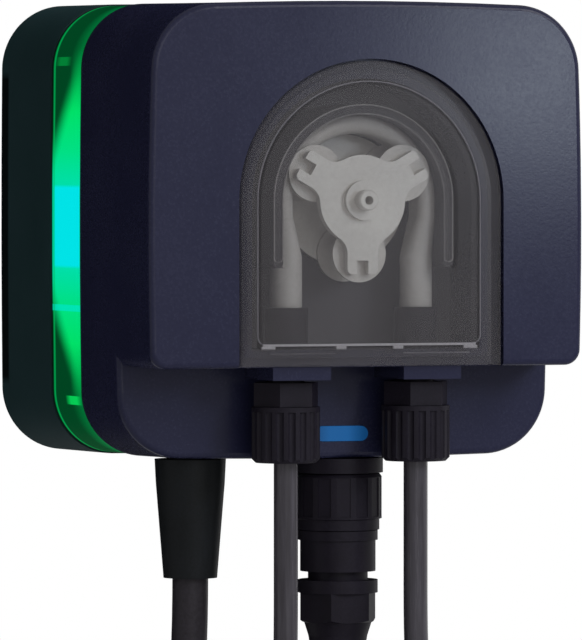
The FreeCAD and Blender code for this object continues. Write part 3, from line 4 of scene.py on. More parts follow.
import bpy
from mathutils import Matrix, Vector


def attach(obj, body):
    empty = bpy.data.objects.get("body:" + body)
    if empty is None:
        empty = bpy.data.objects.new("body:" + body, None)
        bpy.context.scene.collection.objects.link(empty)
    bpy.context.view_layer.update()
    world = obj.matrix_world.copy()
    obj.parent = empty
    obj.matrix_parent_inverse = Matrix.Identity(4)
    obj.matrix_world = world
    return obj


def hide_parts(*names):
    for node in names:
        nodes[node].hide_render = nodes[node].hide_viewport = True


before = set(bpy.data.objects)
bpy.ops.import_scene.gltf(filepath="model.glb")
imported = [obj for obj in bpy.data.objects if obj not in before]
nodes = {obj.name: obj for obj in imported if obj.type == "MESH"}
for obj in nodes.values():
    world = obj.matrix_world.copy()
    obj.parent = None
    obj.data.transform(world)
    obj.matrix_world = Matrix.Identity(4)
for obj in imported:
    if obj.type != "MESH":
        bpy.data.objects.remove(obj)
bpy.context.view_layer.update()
mm = 0.001


def linear(hexColour):
    channels = []
    for start in (1, 3, 5):
        value = int(hexColour[start:start + 2], 16) / 255
        channels.append(value / 12.92 if value <= 0.04045 else ((value + 0.055) / 1.055) ** 2.4)
    return (*channels, 1.0)


def perMetre(sizeInMm):
    return 1000 / sizeInMm  # the scale that gives a pattern features of this size


def addObject(name, data):
    thing = bpy.data.objects.new(name, data)
    bpy.context.scene.collection.objects.link(thing)
    return thing


# Camera, from the photograph's perspective
camera = {
    "turn": -21.0,  # degrees to the left of straight ahead
    "distance": 1.8,
    "height": 0.020,
    "lens": 412.0,
    "sensor": 36,
    "farthest": 30,
    "target": (0.0, -0.1124, 0.0076),  # middle of the cover's arch
    "aimLeft": 0.01111,  # radians that the picture's middle lies left of the target
    "aimDown": 0.01633,
}
turn = math.radians(camera["turn"])
target = Vector(camera["target"])
eye = Vector((target.x + camera["distance"] * math.sin(turn),
              target.y - camera["distance"] * math.cos(turn), camera["height"]))
towards = target - eye
cameraData = bpy.data.cameras.new("photoCamera")
cameraData.lens = camera["lens"]
cameraData.sensor_width = camera["sensor"]
cameraData.clip_end = camera["farthest"]
cameraObject = addObject("photoCamera", cameraData)
cameraObject.location = eye
pitch = math.atan2(towards.z, math.hypot(towards.x, towards.y)) - camera["aimDown"]
heading = -math.atan2(towards.x, towards.y) + camera["aimLeft"]
cameraObject.rotation_euler = (math.pi / 2 + pitch, 0, heading)
bpy.context.scene.camera = cameraObject
bpy.context.scene.view_settings.view_transform = "Standard"
print("camera set")


# Cords: a run from the pump, a coil whose turns step round its own section, and a tail.
# Thickness and length are in metres, everything else in millimetres.
mainsLead = {
    "thickness": 0.009,
    "length": 1.40,
    "depth": 0,
    "run": [(-34, -74.4, -84), (-34, -74.4, -106), (-36, -73, -122), (-46, -71.5, -138), (-61, -68, -154),
            (-65.3, -64.8, -174)],
    "coil": (-9, -60, -192),
    "radius": 50,
    "turns": 4,
    "pitch": 9.25,
    "tail": [(-65.3, -55.6, -208), (-63, -57, -226), (-58, -60, -244), (-58, -60, -262)],
    "tieInside": 12.5,
}
hose = {
    "thickness": 0.006,
    "length": 1.46,
    "depth": -97.6,  # the run's and the tail's own depths count from here
    "run": [(17.2, 0, -45), (17.2, 0, -76), (17.2, 0, -104), (18.4, -1.2, -128), (20.4, -3, -150)],
    "coil": (62, -97.7, -170),
    "radius": 35,
    "turns": 6,
    "pitch": 6.2,
    "tail": [(20.8, 2.6, -188), (22, 0, -206), (22, 0, -224)],
    "tieInside": 10.25,
}
pointsPerTurn = 16


def coilTurns(cord, side):
    # the turns step round the bundle's section, so that they lie beside each other
    spots = cord["turns"] + 1
    bundle = cord["pitch"] * mm / (2 * math.sin(math.pi / spots))
    radius = cord["radius"] * mm
    x, y, z = cord["coil"]
    start = math.pi if side > 0 else 0
    points = []
    for number in range(cord["turns"] * pointsPerTurn + 1):
        share = number / pointsPerTurn
        angle = start + side * 2 * math.pi * share
        place = -(math.pi / spots + share * 2 * math.pi / spots)
        reach = (radius + bundle * math.cos(place)) / math.cos(math.pi / pointsPerTurn)
        points.append((side * x * mm + reach * math.cos(angle), y * mm + bundle * math.sin(place),
                       z * mm + reach * math.sin(angle)))
    return points


def layCord(name, cord, side=1):
    # side -1 mirrors the cord to the left
    run, tail = [[(side * x * mm, (cord["depth"] + y) * mm, z * mm) for x, y, z in cord[part]]
                 for part in ("run", "tail")]
    points = run + coilTurns(cord, side) + tail
    curve = bpy.data.curves.new(name, "CURVE")
    curve.dimensions = "3D"
    spline = curve.splines.new("NURBS")
    spline.points.add(len(points) - 1)
    for place, point in zip(spline.points, points):
        place.co = (*point, 1.0)
    spline.order_u = 3
    spline.use_endpoint_u = True
    spline.resolution_u = 6
    curve.bevel_depth = cord["thickness"] / 2
    curve.bevel_resolution = 5
    curve.use_fill_caps = True
    return addObject(name, curve)


leadCord = layCord("mainsLeadCord", mainsLead)
suctionHose = layCord("suctionHoseCord", hose, -1)
deliveryHose = layCord("deliveryHoseCord", hose)
print("cords laid")


# Materials
def addNode(tree, kind, settings=None, links=None, stops=None):
    # settings are properties or inputs of the node, a linked node stands for its first output, and
    # stops are places and colours of its ramp, whose own two ends take the first and the last
    node = tree.nodes.new(kind)
    for key, value in (settings or {}).items():
        if isinstance(key, str) and hasattr(node, key):
            setattr(node, key, value)
        else:
            node.inputs[key].default_value = value
    for key, source in (links or {}).items():
        socket = source.outputs[0] if isinstance(source, bpy.types.Node) else source
        tree.links.new(socket, node.inputs[key])
    if stops:
        elements = node.color_ramp.elements
        elements[0].position, elements[0].color = stops[0]
        elements[1].position, elements[1].color = stops[-1]
        for place, colour in stops[1:-1]:
            elements.new(place).color = colour
    return node


def newMaterial(name, colour, roughness, ior=1.5, metallic=0.0, level=0.5):
    material = bpy.data.materials.new(name)
    material.use_nodes = True
    material.diffuse_color = linear(colour)
    tree = material.node_tree
    shader = tree.nodes["Principled BSDF"]
    values = {"Base Color": linear(colour), "Roughness": roughness, "IOR": ior, "Metallic": metallic,
              "Specular IOR Level": level}
    for key, value in values.items():
        shader.inputs[key].default_value = value
    where = addNode(tree, "ShaderNodeTexCoord").outputs["Object"]
    return material, tree, shader, where


# Real grain, frost and brush marks are about 0.1 mm across, too fine to show in the picture, so all of
# them are drawn as coarse as they need to be. This is how a moulded or drawn skin varies, in shares.
skin = {
    "detail": 3.0,
    "grainRoughness": 0.6,
    "grainShare": 0.6,
    "cloudShare": 0.4,
    "colourSpan": (0.4, 0.6),
    "roughnessSpan": (0.35, 0.65),
    "bump": 0.6,
}
noiseSpan = {"From Min": 0.3, "From Max": 0.7}  # most of a noise lies in here


def addSurface(tree, shader, where, colours, roughnesses, grain, height, cloud):
    # a fine grain and slow clouds together drive colour, roughness and height
    fine = addNode(tree, "ShaderNodeTexNoise", {"Scale": perMetre(grain), "Detail": skin["detail"],
                                                "Roughness": skin["grainRoughness"]}, {"Vector": where})
    slow = addNode(tree, "ShaderNodeTexNoise", {"Scale": perMetre(cloud), "Detail": skin["detail"]},
                   {"Vector": where})
    share = addNode(tree, "ShaderNodeMath", {"operation": "MULTIPLY", 1: skin["cloudShare"]}, {0: slow})
    both = addNode(tree, "ShaderNodeMath", {"operation": "MULTIPLY_ADD", 1: skin["grainShare"]},
                   {0: fine, 2: share})
    ramp = addNode(tree, "ShaderNodeValToRGB", {}, {"Fac": both},
                   [(place, linear(colour)) for place, colour in zip(skin["colourSpan"], colours)])
    low, high = skin["roughnessSpan"]
    rough = addNode(tree, "ShaderNodeMapRange", {"From Min": low, "From Max": high, "To Min": roughnesses[0],
                                                 "To Max": roughnesses[1]}, {"Value": both})
    bump = addNode(tree, "ShaderNodeBump", {"Strength": skin["bump"], "Distance": height * mm},
                   {"Height": fine})
    tree.links.new(ramp.outputs["Color"], shader.inputs["Base Color"])
    tree.links.new(rough.outputs["Result"], shader.inputs["Roughness"])
    tree.links.new(bump.outputs["Normal"], shader.inputs["Normal"])


def mouldedPlastic(name, colours, roughnesses, grain=0.6, height=0.03, ior=1.5, level=0.5, cloud=25.0):
    # grain, height and cloud are in millimetres
    material, tree, shader, where = newMaterial(name, colours[0], roughnesses[0], ior, level=level)
    addSurface(tree, shader, where, colours, roughnesses, grain, height, cloud)
    return material


# ABS from a spark-eroded mould: an even grain that spreads the light into a soft satin
housingFront = mouldedPlastic("absBlueGreyTextured", ("#1B1C31", "#202136"), (0.23, 0.29),
                              grain=0.7, height=0.035, ior=1.53, level=0.12)
# The same ABS for the rear shell, darker and rougher, so it takes less light; its teal tint is painted light,
# the lit ring's green glow that falls on it
housingRear = mouldedPlastic("absDarkTextured", ("#17292B", "#1C2E31"), (0.42, 0.5),
                             grain=0.7, height=0.035, ior=1.53, level=0.08)
paintedWallShade = {
    "depth": 9.2,  # mm from the wall
    "reach": 39.0,  # mm, half the height of the sides' straight part
    "side": 53.0,  # mm from the middle to where the sides begin
    "soft": (0.5, 1.0),  # mm, the shade's edges in depth and in height
    "keep": 0.12,  # what it leaves of the colour
}


def paintShadeAtWall(material):
    # painted shade: the rounding at the wall is kept dark in its colour along the straight part of both sides
    tree = material.node_tree
    shader = tree.nodes["Principled BSDF"]
    where = addNode(tree, "ShaderNodeTexCoord").outputs["Object"]
    split = addNode(tree, "ShaderNodeSeparateXYZ", {}, {"Vector": where})
    up = addNode(tree, "ShaderNodeMath", {"operation": "ABSOLUTE"}, {0: split.outputs["Z"]})
    out = addNode(tree, "ShaderNodeMath", {"operation": "ABSOLUTE"}, {0: split.outputs["X"]})
    softDepth, softHeight = paintedWallShade["soft"]
    within = addNode(tree, "ShaderNodeMapRange", {"From Min": (paintedWallShade["reach"] + softHeight) * mm,
                                                  "From Max": (paintedWallShade["reach"] - softHeight) * mm},
                     {"Value": up})
    behindEdge = addNode(tree, "ShaderNodeMapRange", {"From Min": -(paintedWallShade["depth"] + softDepth) * mm,
                                                      "From Max": -(paintedWallShade["depth"] - softDepth) * mm},
                         {"Value": split.outputs["Y"]})
    outside = addNode(tree, "ShaderNodeMath", {"operation": "GREATER_THAN", 1: paintedWallShade["side"] * mm},
                      {0: out})
    strip = addNode(tree, "ShaderNodeMath", {"operation": "MULTIPLY"}, {0: within, 1: behindEdge})
    share = addNode(tree, "ShaderNodeMath", {"operation": "MULTIPLY"}, {0: strip, 1: outside})
    kept = addNode(tree, "ShaderNodeMapRange", {"To Min": 1.0, "To Max": paintedWallShade["keep"]},
                   {"Value": share})
    colour = shader.inputs["Base Color"].links[0].from_socket
    shaded = addNode(tree, "ShaderNodeMix", {"data_type": "RGBA", "blend_type": "MULTIPLY", "Factor": 1.0},
                     {6: colour, 7: kept})
    tree.links.new(shaded.outputs[2], shader.inputs["Base Color"])


paintShadeAtWall(housingRear)

# Moulded polycarbonate light guide, frosted inside, with green and cyan diodes behind it: it glows by
# itself, cyan in the middle of each side and green into the corners. Heights are in millimetres, and
# places across the guide in shares.
ring = {
    "bare": "#010603", "roughness": 0.3, "level": 0.04, "detail": 2.0,
    "rear": 40.9, "width": 22.1,  # mm, depth of its rear edge, and front to back
    "middle": 0.6, "tall": 58.0,  # the sides' middle, and the height that the greens run over
    "greens": ((0.17, "#00DFAA"), (0.33, "#00E083"), (0.5, "#00E068"), (0.66, "#00A84C"),
               (0.78, "#007E3A"), (0.9, "#007E3E"), (1.0, "#00A050")),
    "wedgeStart": 14.5, "wedgeSlope": 27.0,  # where the dark wedge starts at the rear edge, and its run
    "wedgeSoft": (-4.0, 9.0), "wedgeColour": "#004320",
    "glowFrom": 0.6, "glow": 0.8,  # past the wedge it is bright again towards the front edge
    "cyanUp": 10.9, "cyanDown": -9.3, "cyanSoft": 0.4, "cyanColour": "#00E3E6",
    "cyanAcross": 0.51, "cyanHalf": 0.42,  # so that its two edges stay green
    "joint": -19.6, "jointHalf": 0.8, "jointShare": 0.7, "jointColour": "#00E5C4",
    # diode marks near the corners, the lower ones first: these are bright and sit towards the front
    "markHeights": (43.3, 41.6), "markHalf": 1.1, "markAcross": (0.68, 0.36), "markFade": (0.26, 0.1),
    "markShares": (0.75, 0.22), "markColour": "#08E25E",
    "edges": ((0.02, 0.03), (0.05, 1.0), (0.93, 1.0), (0.97, 0.35), (1.0, 0.05)),  # place and brightness
    "rimLine": 0.085, "rimSoft": (0.04, 0.01), "rimShare": 0.65, "rimColour": "#00B858",
    "frost": 0.8, "frostHeight": 0.02, "frostBump": 0.3,
}


def ringMark(tree, height, across, upper):
    # the upper marks are faint and sit towards the rear edge, the lower ones are bright and in front
    low, high = ring["markHeights"]
    reach = addNode(tree, "ShaderNodeMapRange", {"To Min": low, "To Max": high}, {"Value": upper})
    spot = addNode(tree, "ShaderNodeMath", {"operation": "COMPARE", 2: ring["markHalf"]},
                   {0: height, 1: reach})
    low, high = ring["markAcross"]
    middle = addNode(tree, "ShaderNodeMapRange", {"To Min": low, "To Max": high}, {"Value": upper})
    aside = addNode(tree, "ShaderNodeMath", {"operation": "SUBTRACT"}, {0: across, 1: middle})
    near = addNode(tree, "ShaderNodeMath", {"operation": "ABSOLUTE"}, {0: aside})
    far, full = ring["markFade"]
    fade = addNode(tree, "ShaderNodeMapRange", {"From Min": far, "From Max": full}, {"Value": near})
    mark = addNode(tree, "ShaderNodeMath", {"operation": "MULTIPLY"}, {0: spot, 1: fade})
    low, high = ring["markShares"]
    bright = addNode(tree, "ShaderNodeMapRange", {"To Min": low, "To Max": high}, {"Value": upper})
    return addNode(tree, "ShaderNodeMath", {"operation": "MULTIPLY"}, {0: mark, 1: bright})


def litRing():
    material, tree, shader, where = newMaterial("polycarbonateLitRing", ring["bare"], ring["roughness"],
                                                ior=1.58, level=ring["level"])
    split = addNode(tree, "ShaderNodeSeparateXYZ", {}, {"Vector": where})
    across = addNode(tree, "ShaderNodeMapRange", {"From Min": -ring["rear"] * mm, "clamp": False,
                                                  "From Max": -(ring["rear"] + ring["width"]) * mm},
                     {"Value": split.outputs["Y"]})
    shifted = addNode(tree, "ShaderNodeMath", {"operation": "SUBTRACT", 1: ring["middle"] * mm},
                      {0: split.outputs["Z"]})
    away = addNode(tree, "ShaderNodeMath", {"operation": "ABSOLUTE"}, {0: shifted})
    height = addNode(tree, "ShaderNodeMath", {"operation": "MULTIPLY", 1: 1 / mm}, {0: away})
    signed = addNode(tree, "ShaderNodeMath", {"operation": "MULTIPLY", 1: 1 / mm}, {0: split.outputs["Z"]})

    # green along the side, brightest beside the cyan and deep round the corners
    rise = addNode(tree, "ShaderNodeMath", {"operation": "DIVIDE", 1: ring["tall"]}, {0: height})
    green = addNode(tree, "ShaderNodeValToRGB", {}, {"Fac": rise},
                    [(place, linear(colour)) for place, colour in ring["greens"]])
    # shade that widens from the rear edge the further it is from the middle
    edge = addNode(tree, "ShaderNodeMath", {"operation": "MULTIPLY_ADD", 1: ring["wedgeSlope"],
                                            2: ring["wedgeStart"]}, {0: across})
    beyond = addNode(tree, "ShaderNodeMath", {"operation": "SUBTRACT"}, {0: height, 1: edge})
    clear, dark = ring["wedgeSoft"]
    wedge = addNode(tree, "ShaderNodeMapRange", {"From Min": clear, "From Max": dark,
                                                 "interpolation_type": "SMOOTHSTEP"}, {"Value": beyond})
    shaded = addNode(tree, "ShaderNodeMix", {"data_type": "RGBA", 7: linear(ring["wedgeColour"])},
                     {"Factor": wedge, 6: green})
    glow = addNode(tree, "ShaderNodeMapRange", {"From Min": ring["glowFrom"], "From Max": 1.0,
                                                "To Max": ring["glow"]}, {"Value": across})
    paint = addNode(tree, "ShaderNodeMix", {"data_type": "RGBA"},
                    {"Factor": glow, 6: shaded.outputs[2], 7: green})

    # cyan in the middle, a brighter joint line below it, and the diode marks
    soft = ring["cyanSoft"]
    below = addNode(tree, "ShaderNodeMapRange", {"From Min": ring["cyanUp"] + soft,
                                                 "From Max": ring["cyanUp"] - soft}, {"Value": signed})
    above = addNode(tree, "ShaderNodeMapRange", {"From Min": ring["cyanDown"] - soft,
                                                 "From Max": ring["cyanDown"] + soft}, {"Value": signed})
    inside = addNode(tree, "ShaderNodeMath", {"operation": "MULTIPLY"}, {0: below, 1: above})
    between = addNode(tree, "ShaderNodeMath", {"operation": "COMPARE", 1: ring["cyanAcross"],
                                               2: ring["cyanHalf"]}, {0: across})
    core = addNode(tree, "ShaderNodeMath", {"operation": "MULTIPLY"}, {0: inside, 1: between})
    joint = addNode(tree, "ShaderNodeMath", {"operation": "COMPARE", 1: ring["joint"], 2: ring["jointHalf"]},
                    {0: signed})
    jointShare = addNode(tree, "ShaderNodeMath", {"operation": "MULTIPLY", 1: ring["jointShare"]}, {0: joint})
    upper = addNode(tree, "ShaderNodeMath", {"operation": "GREATER_THAN", 1: 0.0}, {0: signed})
    for share, colour in ((core, ring["cyanColour"]), (jointShare, ring["jointColour"]),
                          (ringMark(tree, height, across, upper), ring["markColour"])):
        paint = addNode(tree, "ShaderNodeMix", {"data_type": "RGBA", 7: linear(colour)},
                        {"Factor": share, 6: paint.outputs[2]})

    # the guide's two edges: a dark line at each, and a thin green one inside the rear one, all the way round
    edges = addNode(tree, "ShaderNodeValToRGB", {}, {"Fac": across},
                    [(place, (value, value, value, 1)) for place, value in ring["edges"]])
    edged = addNode(tree, "ShaderNodeMix", {"data_type": "RGBA", "blend_type": "MULTIPLY", "Factor": 1.0},
                    {6: paint.outputs[2], 7: edges})
    fromLine = addNode(tree, "ShaderNodeMath", {"operation": "SUBTRACT", 1: ring["rimLine"]}, {0: across})
    besideLine = addNode(tree, "ShaderNodeMath", {"operation": "ABSOLUTE"}, {0: fromLine})
    far, full = ring["rimSoft"]
    rim = addNode(tree, "ShaderNodeMapRange", {"From Min": far, "From Max": full, "To Max": ring["rimShare"]},
                  {"Value": besideLine})
    final = addNode(tree, "ShaderNodeMix", {"data_type": "RGBA", 7: linear(ring["rimColour"])},
                    {"Factor": rim, 6: edged.outputs[2]})
    tree.links.new(final.outputs[2], shader.inputs["Emission Color"])
    shader.inputs["Emission Strength"].default_value = 1.0
    frost = addNode(tree, "ShaderNodeTexNoise", {"Scale": perMetre(ring["frost"]), "Detail": ring["detail"]},
                    {"Vector": where})
    bump = addNode(tree, "ShaderNodeBump", {"Strength": ring["frostBump"],
                                            "Distance": ring["frostHeight"] * mm}, {"Height": frost})
    tree.links.new(bump.outputs["Normal"], shader.inputs["Normal"])
    return material


ringGuide = litRing()

# Moulded polycarbonate cover, clear with a fine matt bloom that greys what lies behind it
coverSheet = {
    "colour": "#575456", "level": 0.1, "detail": 2.0,
    "haze": 0.5, "hazeRoughness": 0.7, "roughness": (0.32, 0.44),
    "cloud": 18, "veil": (0.24, 0.28),  # how much it hides, in slow clouds
}


def frostedCover():
    material, tree, shader, where = newMaterial("polycarbonateFrosted", coverSheet["colour"], 0.36, ior=1.585,
                                                level=coverSheet["level"])
    haze = addNode(tree, "ShaderNodeTexNoise", {"Scale": perMetre(coverSheet["haze"]),
                                                "Detail": coverSheet["detail"],
                                                "Roughness": coverSheet["hazeRoughness"]},
                   {"Vector": where})
    cloud = addNode(tree, "ShaderNodeTexNoise", {"Scale": perMetre(coverSheet["cloud"]),
                                                 "Detail": coverSheet["detail"]}, {"Vector": where})
    for key, noise, (low, high) in (("Alpha", cloud, coverSheet["veil"]),
                                    ("Roughness", haze, coverSheet["roughness"])):
        share = addNode(tree, "ShaderNodeMapRange", {**noiseSpan, "To Min": low, "To Max": high},
                        {"Value": noise})
        tree.links.new(share.outputs["Result"], shader.inputs[key])
    return material


coverClear = frostedCover()
# The same polycarbonate at a rib's edge, painted paler for the light that gathers in it
coverEdgePaintedLight = mouldedPlastic("polycarbonateEdgePaintedLight", ("#66646A", "#737076"), (0.3, 0.42),
                           grain=0.5, height=0.01, ior=1.585, level=0.12)
# And where it is bent or thick, along the foot and in the clips: there it is painted nearly white for the
# light gathered in it
coverBendPaintedLight = mouldedPlastic("polycarbonateBendPaintedLight", ("#8F8C90", "#9D9A9D"), (0.3, 0.42),
                           grain=0.5, height=0.01, ior=1.585, level=0.2)
# Acetal, machined and moulded: warm white with a waxy sheen
rotorAcetal = mouldedPlastic("acetalNatural", ("#DAD6D0", "#E4E1DB"), (0.34, 0.46),
                             grain=0.9, height=0.012, ior=1.48)
# Natural nylon, turned into rollers: a shade greyer and more matt than the acetal
rollerNylon = mouldedPlastic("nylonNatural", ("#C6C1BB", "#D2CEC8"), (0.4, 0.52),
                             grain=0.9, height=0.012, ior=1.53)
# Moulded ABS of the pump head's base: a plain dark grey that lets the white parts stand out
headGrey = mouldedPlastic("absHeadGrey", ("#454347", "#4E4B4F"), (0.46, 0.6),
                          grain=0.6, height=0.03, ior=1.53, level=0.15)
# The same ABS at the track's rounded lip, painted pale as a thin line for the light it catches
trackLipPaintedHighlight = mouldedPlastic("absTrackLipPaintedHighlight", ("#8B8887", "#989594"), (0.4, 0.5),
                           grain=0.6, height=0.01, ior=1.53, level=0.3)
# Extruded tube of thermoplastic elastomer, matt and slightly warm
tubeElastomer = mouldedPlastic("elastomerTube", ("#B7B3AE", "#C2BEBA"), (0.5, 0.62), grain=1.2, height=0.02)
# Glass-filled nylon, moulded: near black with a fine uneven skin
blackNylon = mouldedPlastic("nylonBlackMoulded", ("#151219", "#1B1820"), (0.4, 0.5),
                            grain=0.5, height=0.02, ior=1.53, level=0.07, cloud=9.0)
# Soft moulded PVC of the boot and the plug: black, with hardly any shine
bootPvc = mouldedPlastic("pvcBootBlack", ("#101213", "#16181B"), (0.42, 0.52),
                         grain=0.6, height=0.02, ior=1.53, level=0.08, cloud=14.0)
# Extruded PVC of the lead's jacket: smoother and a little paler than the boot
leadPvc = mouldedPlastic("pvcLeadBlack", ("#211E22", "#29262B"), (0.4, 0.5),
                         grain=0.9, height=0.015, ior=1.53, level=0.12, cloud=16.0)
# Moulded nitrile rubber seal: dull black
sealRubber = mouldedPlastic("rubberSealBlack", ("#0E0E0F", "#161617"), (0.6, 0.75),
                            grain=0.4, height=0.03, ior=1.52, level=0.15)
# Rigid PVC of the filter and the valve, moulded: mid grey with a faint sheen
fittingGrey = mouldedPlastic("pvcFittingGrey", ("#5B5D60", "#686A6D"), (0.4, 0.52),
                             grain=0.7, height=0.02, ior=1.53)
# Solder mask printed over glass fibre: a deep even green
boardGreen = mouldedPlastic("boardSolderMask", ("#0B4A2A", "#125C36"), (0.3, 0.4), grain=0.8, height=0.01)
# Moulded polyamide of the terminal block: a clear mid green
terminalGreen = mouldedPlastic("polyamideGreen", ("#1C7A3A", "#248745"), (0.4, 0.5),
                               grain=0.5, height=0.02, ior=1.53)

# Extruded PVC hose, smoky grey and half clear, so its rims read lighter than its middle
hoseSkin = {"colours": ("#2C292E", "#403D43"), "roughnesses": (0.22, 0.3), "grain": 1.6, "height": 0.004,
            "cloud": 5.0}
hoseSheen = {"Sheen Weight": 0.1, "Sheen Roughness": 0.3}
hoseDraw = (1.0, 1.0, 0.06)  # stretches the grain into faint lines from the extruder


def softHose():
    material, tree, shader, where = newMaterial("pvcHoseSmoke", "#353237", 0.26, ior=1.53, level=0.2)
    drawn = addNode(tree, "ShaderNodeMapping", {"Scale": hoseDraw}, {"Vector": where})
    addSurface(tree, shader, drawn.outputs["Vector"], **hoseSkin)
    for key, value in hoseSheen.items():
        shader.inputs[key].default_value = value
    return material


hosePvc = softHose()
brushStretch = (1.0, 14.0, 14.0)


def brushedMetal(name, colours, roughnesses, brush):
    # brush is the length of its strokes in millimetres
    material, tree, shader, where = newMaterial(name, colours[0], roughnesses[0], metallic=1.0)
    stretch = addNode(tree, "ShaderNodeMapping", {"Scale": brushStretch}, {"Vector": where})
    strokes = addNode(tree, "ShaderNodeTexNoise", {"Scale": perMetre(brush), "Detail": skin["detail"]},
                      {"Vector": stretch})
    ramp = addNode(tree, "ShaderNodeValToRGB", {}, {"Fac": strokes},
                   [(place, linear(colour)) for place, colour in zip((0.0, 1.0), colours)])
    rough = addNode(tree, "ShaderNodeMapRange", {**noiseSpan, "To Min": roughnesses[0],
                                                 "To Max": roughnesses[1]}, {"Value": strokes})
    tree.links.new(ramp.outputs["Color"], shader.inputs["Base Color"])
    tree.links.new(rough.outputs["Result"], shader.inputs["Roughness"])
    return material


# Zinc-plated steel: cool, with a soft brushed glint
zincSteel = brushedMetal("steelZincPlated", ("#9C9EA2", "#B9BBBF"), (0.3, 0.45), brush=9.0)
# Brass pins, turned and nickel-plated: warmer and brighter
nickelBrass = brushedMetal("brassNickelled", ("#BDB69E", "#CFC9B4"), (0.18, 0.3), brush=7.0)
# Powder-coated steel bracket: a dull orange-peel black
paintedSteel = mouldedPlastic("steelPowderCoated", ("#202123", "#2A2B2E"), (0.5, 0.62),
                              grain=0.8, height=0.04)

# Moulded polycarbonate lens over a blue diode: brighter in the middle, deeper towards its ends
lens = {"bare": "#04182E", "roughness": 0.3, "level": 0.1, "half": 7.0,
        "stops": ((0.35, "#10538C"), (1.0, "#093A66"))}


def blueLens():
    material, tree, shader, where = newMaterial("polycarbonateBlueLens", lens["bare"], lens["roughness"],
                                                ior=1.585, level=lens["level"])
    split = addNode(tree, "ShaderNodeSeparateXYZ", {}, {"Vector": where})
    away = addNode(tree, "ShaderNodeMath", {"operation": "ABSOLUTE"}, {0: split.outputs["X"]})
    share = addNode(tree, "ShaderNodeMath", {"operation": "MULTIPLY", 1: perMetre(lens["half"])}, {0: away})
    ramp = addNode(tree, "ShaderNodeValToRGB", {}, {"Fac": share},
                   [(place, linear(colour)) for place, colour in lens["stops"]])
    tree.links.new(ramp.outputs["Color"], shader.inputs["Emission Color"])
    shader.inputs["Emission Strength"].default_value = 1.0
    return material


statusBlue = blueLens()

finishes = {
    housingFront: ["front_shell"],
    housingRear: ["rear_shell"],
    ringGuide: ["light_ring"],
    coverClear: ["clear_cover"],
    statusBlue: ["status_light"],
    headGrey: ["pump_head_base"],
    rotorAcetal: ["roller_carrier", "carrier_rear_plate", "output_shaft"],
    rollerNylon: ["roller_1", "roller_2", "roller_3"],
    tubeElastomer: ["pump_tube"],
    blackNylon: ["suction_fitting", "delivery_fitting", "suction_nut", "delivery_nut", "connector_socket",
                 "coupling_ring", "connector_body", "gland_nut", "foot_filter_nut", "injection_valve_nut",
                 "power_module", "relay"],
    bootPvc: ["strain_relief_boot", "mains_plug"],
    sealRubber: ["gland_seal"],
    fittingGrey: ["foot_filter", "injection_valve"],
    boardGreen: ["main_board", "led_strip"],
    terminalGreen: ["terminal_block"],
    zincSteel: ["gearbox", "motor", "housing_screws", "roller_pins"],
    paintedSteel: ["wall_bracket"],
    nickelBrass: ["plug_pins"],
}
for material, names in finishes.items():
    for name in names:
        mesh = nodes[name].data
        mesh.materials.clear()
        mesh.materials.append(material)
        for polygon in mesh.polygons:
            polygon.material_index = 0
leadCord.data.materials.append(leadPvc)
for cord in (suctionHose, deliveryHose):
    cord.data.materials.append(hosePvc)
print("finishes given")


# Geometry Nodes: small parts that repeat or follow a path
steps = {"ribCircle": 96, "bandCircle": 72, "corner": 6, "arch": 40}  # how finely they are divided


def newNodeTree(name, inputs):
    # every tree also asks where its piece goes, how it is turned, and for its finish
    tree = bpy.data.node_groups.new(name, "GeometryNodeTree")
    shared = {"Place": "Vector", "Turn": "Vector", "Finish": "Material"}
    for label, kind in {**inputs, **shared}.items():
        tree.interface.new_socket(label, in_out="INPUT", socket_type="NodeSocket" + kind)
    tree.interface.new_socket("Geometry", in_out="OUTPUT", socket_type="NodeSocketGeometry")
    return tree, addNode(tree, "NodeGroupInput").outputs, addNode(tree, "NodeGroupOutput")


def placeAndFinish(tree, inlet, outlet, geometry):
    placed = addNode(tree, "GeometryNodeTransform", {},
                     {"Geometry": geometry, "Translation": inlet["Place"], "Rotation": inlet["Turn"]})
    plain = addNode(tree, "GeometryNodeRealizeInstances", {}, {"Geometry": placed})
    finished = addNode(tree, "GeometryNodeSetMaterial", {}, {"Geometry": plain, "Material": inlet["Finish"]})
    tree.links.new(finished.outputs[0], outlet.inputs["Geometry"])
    return tree


def barsRound(tree, radius, count, size):
    # upright bars on a circle, each turned to face outwards
    circle = addNode(tree, "GeometryNodeCurvePrimitiveCircle", {"Resolution": steps["ribCircle"]},
                     {"Radius": radius})
    spots = addNode(tree, "GeometryNodeResampleCurve", {}, {"Curve": circle, "Count": count})
    tangent = addNode(tree, "GeometryNodeInputTangent")
    facing = addNode(tree, "FunctionNodeAlignRotationToVector", {"axis": "Y"}, {"Vector": tangent})
    bar = addNode(tree, "GeometryNodeMeshCube", {}, {"Size": size})
    return addNode(tree, "GeometryNodeInstanceOnPoints", {},
                   {"Points": spots, "Instance": bar, "Rotation": facing})


def ribTree():
    tree, inlet, outlet = newNodeTree("gripRibs", {
        "Radius": "Float", "Count": "Int", "Height": "Float", "Width": "Float", "Length": "Float"})
    size = addNode(tree, "ShaderNodeCombineXYZ", {}, {"X": inlet["Height"], "Y": inlet["Width"],
                                                      "Z": inlet["Length"]})
    return placeAndFinish(tree, inlet, outlet, barsRound(tree, inlet["Radius"], inlet["Count"], size))


# Cable tie: its band in millimetres, then its small parts in shares of the band
tie = {
    "width": 4.6, "thickness": 1.0, "teeth": 44,
    "tooth": (0.6, 0.55, 0.6),
    "head": {"size": (0.8, 1.3, 1.4), "out": 0.3, "along": 0.0},
    "end": {"size": (1.0, 1.5, 1.0), "out": 0.25, "along": 1.3},
}


